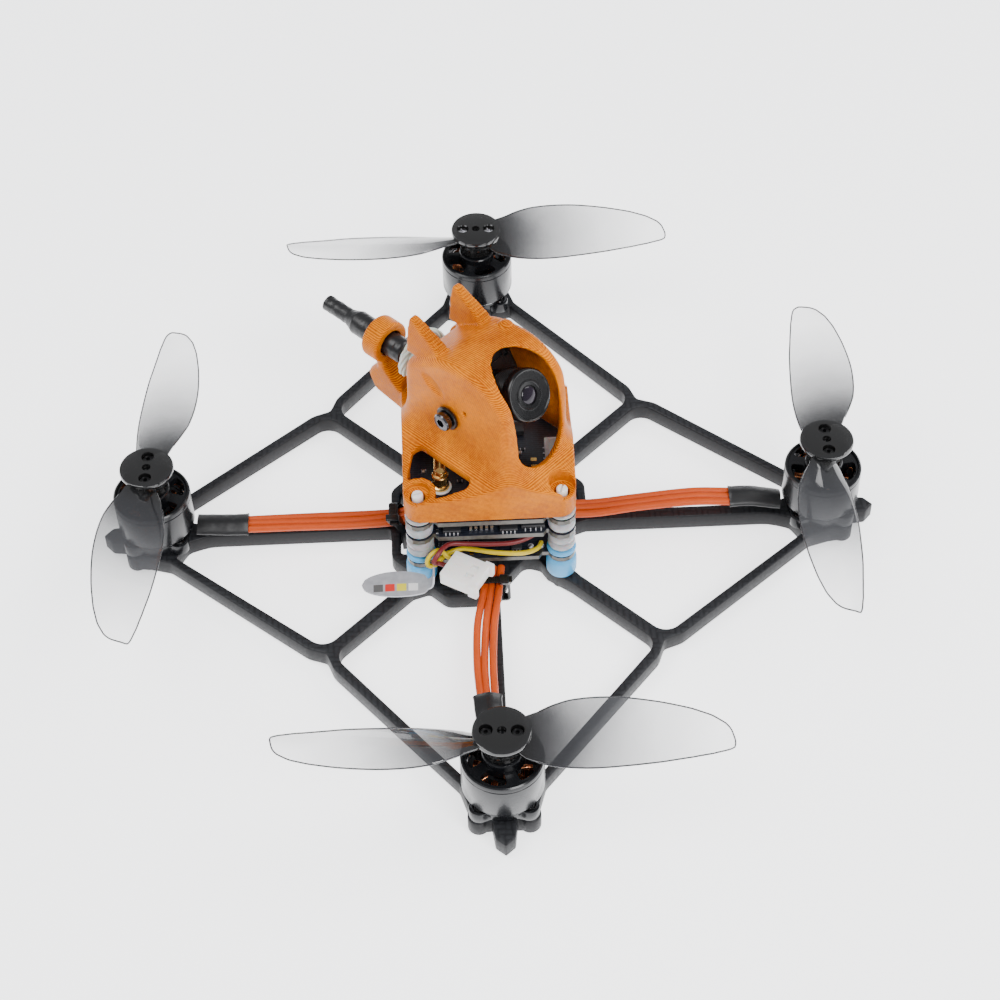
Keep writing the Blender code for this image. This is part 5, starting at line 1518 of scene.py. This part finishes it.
def build_antenna():
    route = [Vector((0, 19.9 + 20.0 * k / 110, TUBE_HEIGHT)) for k in range(111)]
    sections = []
    for place in route:
        y = place.y
        radius = 2.3
        if y > 32.0:
            radius = 2.3 - 0.8 * min(1.0, (y - 32.0) / 2.2) ** 0.8
        if y < 20.3:
            radius -= 0.25 * (20.3 - y) / 0.4
        ring = []
        for k in range(40):
            angle = TAU * k / 40
            ripple = 0.07 * noise.noise(Vector((y * 0.9, math.cos(angle) * 1.6, math.sin(angle) * 1.6)))
            ripple += 0.05 * noise.noise(Vector((y * 2.6, math.cos(angle) * 3, math.sin(angle) * 3)))
            size = min(2.3, radius + ripple) if y < 33 else radius + ripple
            ring.append(place + Vector((math.cos(angle), 0, math.sin(angle))) * size)
        sections.append(ring)
    piece("antenna_sleeve", skin(sections), "shrink", smooth=50, replaces=("antenna_tube",))

    centre = smooth_route(COAX_ROUTE, 0.35)
    strands = bmesh.new()
    side = Vector((1, 0, 0))
    frames = []
    for i, place in enumerate(centre):
        along = heading_at(centre, i)
        side = (side - along * side.dot(along)).normalized()
        frames.append((place, side.copy(), along.cross(side)))
    for strand in range(5):
        sections = []
        for i, (place, across, rise) in enumerate(frames):
            angle = TAU * strand / 5 + i * 0.2
            heart = place + (across * math.cos(angle) + rise * math.sin(angle)) * 0.5
            sections.append([heart + (across * math.cos(TAU * k / 10) + rise * math.sin(TAU * k / 10)) * 0.34
                             for k in range(10)])
        merge(strands, skin(sections))
    piece("antenna_coax_looks", strands, "coax", smooth=60, replaces=("antenna_coax",))

    plug = turned([(0.0, 19.85), (1.5, 19.85), (1.6, 19.95), (1.6, 20.5), (1.3, 20.65), (1.3, 21.0),
                   (1.5, 21.1), (1.5, 22.9), (1.35, 23.1), (0.9, 23.2), (0.85, 23.7), (0.7, 23.9),
                   (0.0, 23.9)], 48)
    heading = Matrix.Rotation(math.radians(-46), 4, "Z") @ Matrix.Rotation(-math.pi / 2, 4, "X")
    barrel = turned([(0.0, 0.0), (1.2, 0.0), (1.2, 2.6), (1.05, 2.7), (1.05, 2.9), (1.2, 3.0), (1.2, 3.4),
                     (1.05, 3.5), (1.05, 3.7), (1.2, 3.8), (1.2, 4.5), (1.1, 4.6), (0.0, 4.6)], 40)
    solid("antenna_plug_looks", plug, "gold", [(JOIN, barrel, Matrix.Translation((0, 0, 22.5)) @ heading)],
          (*PLUG_PLACE, 0), replaces=("antenna_plug",))
    seat = turned([(0.0, 19.5), (1.9, 19.5), (2.0, 19.6), (2.0, 19.8), (1.9, 19.88), (0.0, 19.88)], 48)
    piece("antenna_plug_seat", seat, "nylon", (*PLUG_PLACE, 0))


build_stage()
build_wires([build_connector(), build_flag()])
build_frame()
build_motors()
build_leads()
build_zip_ties()
build_boards()
build_posts()
build_canopy()
build_camera()
build_antenna()
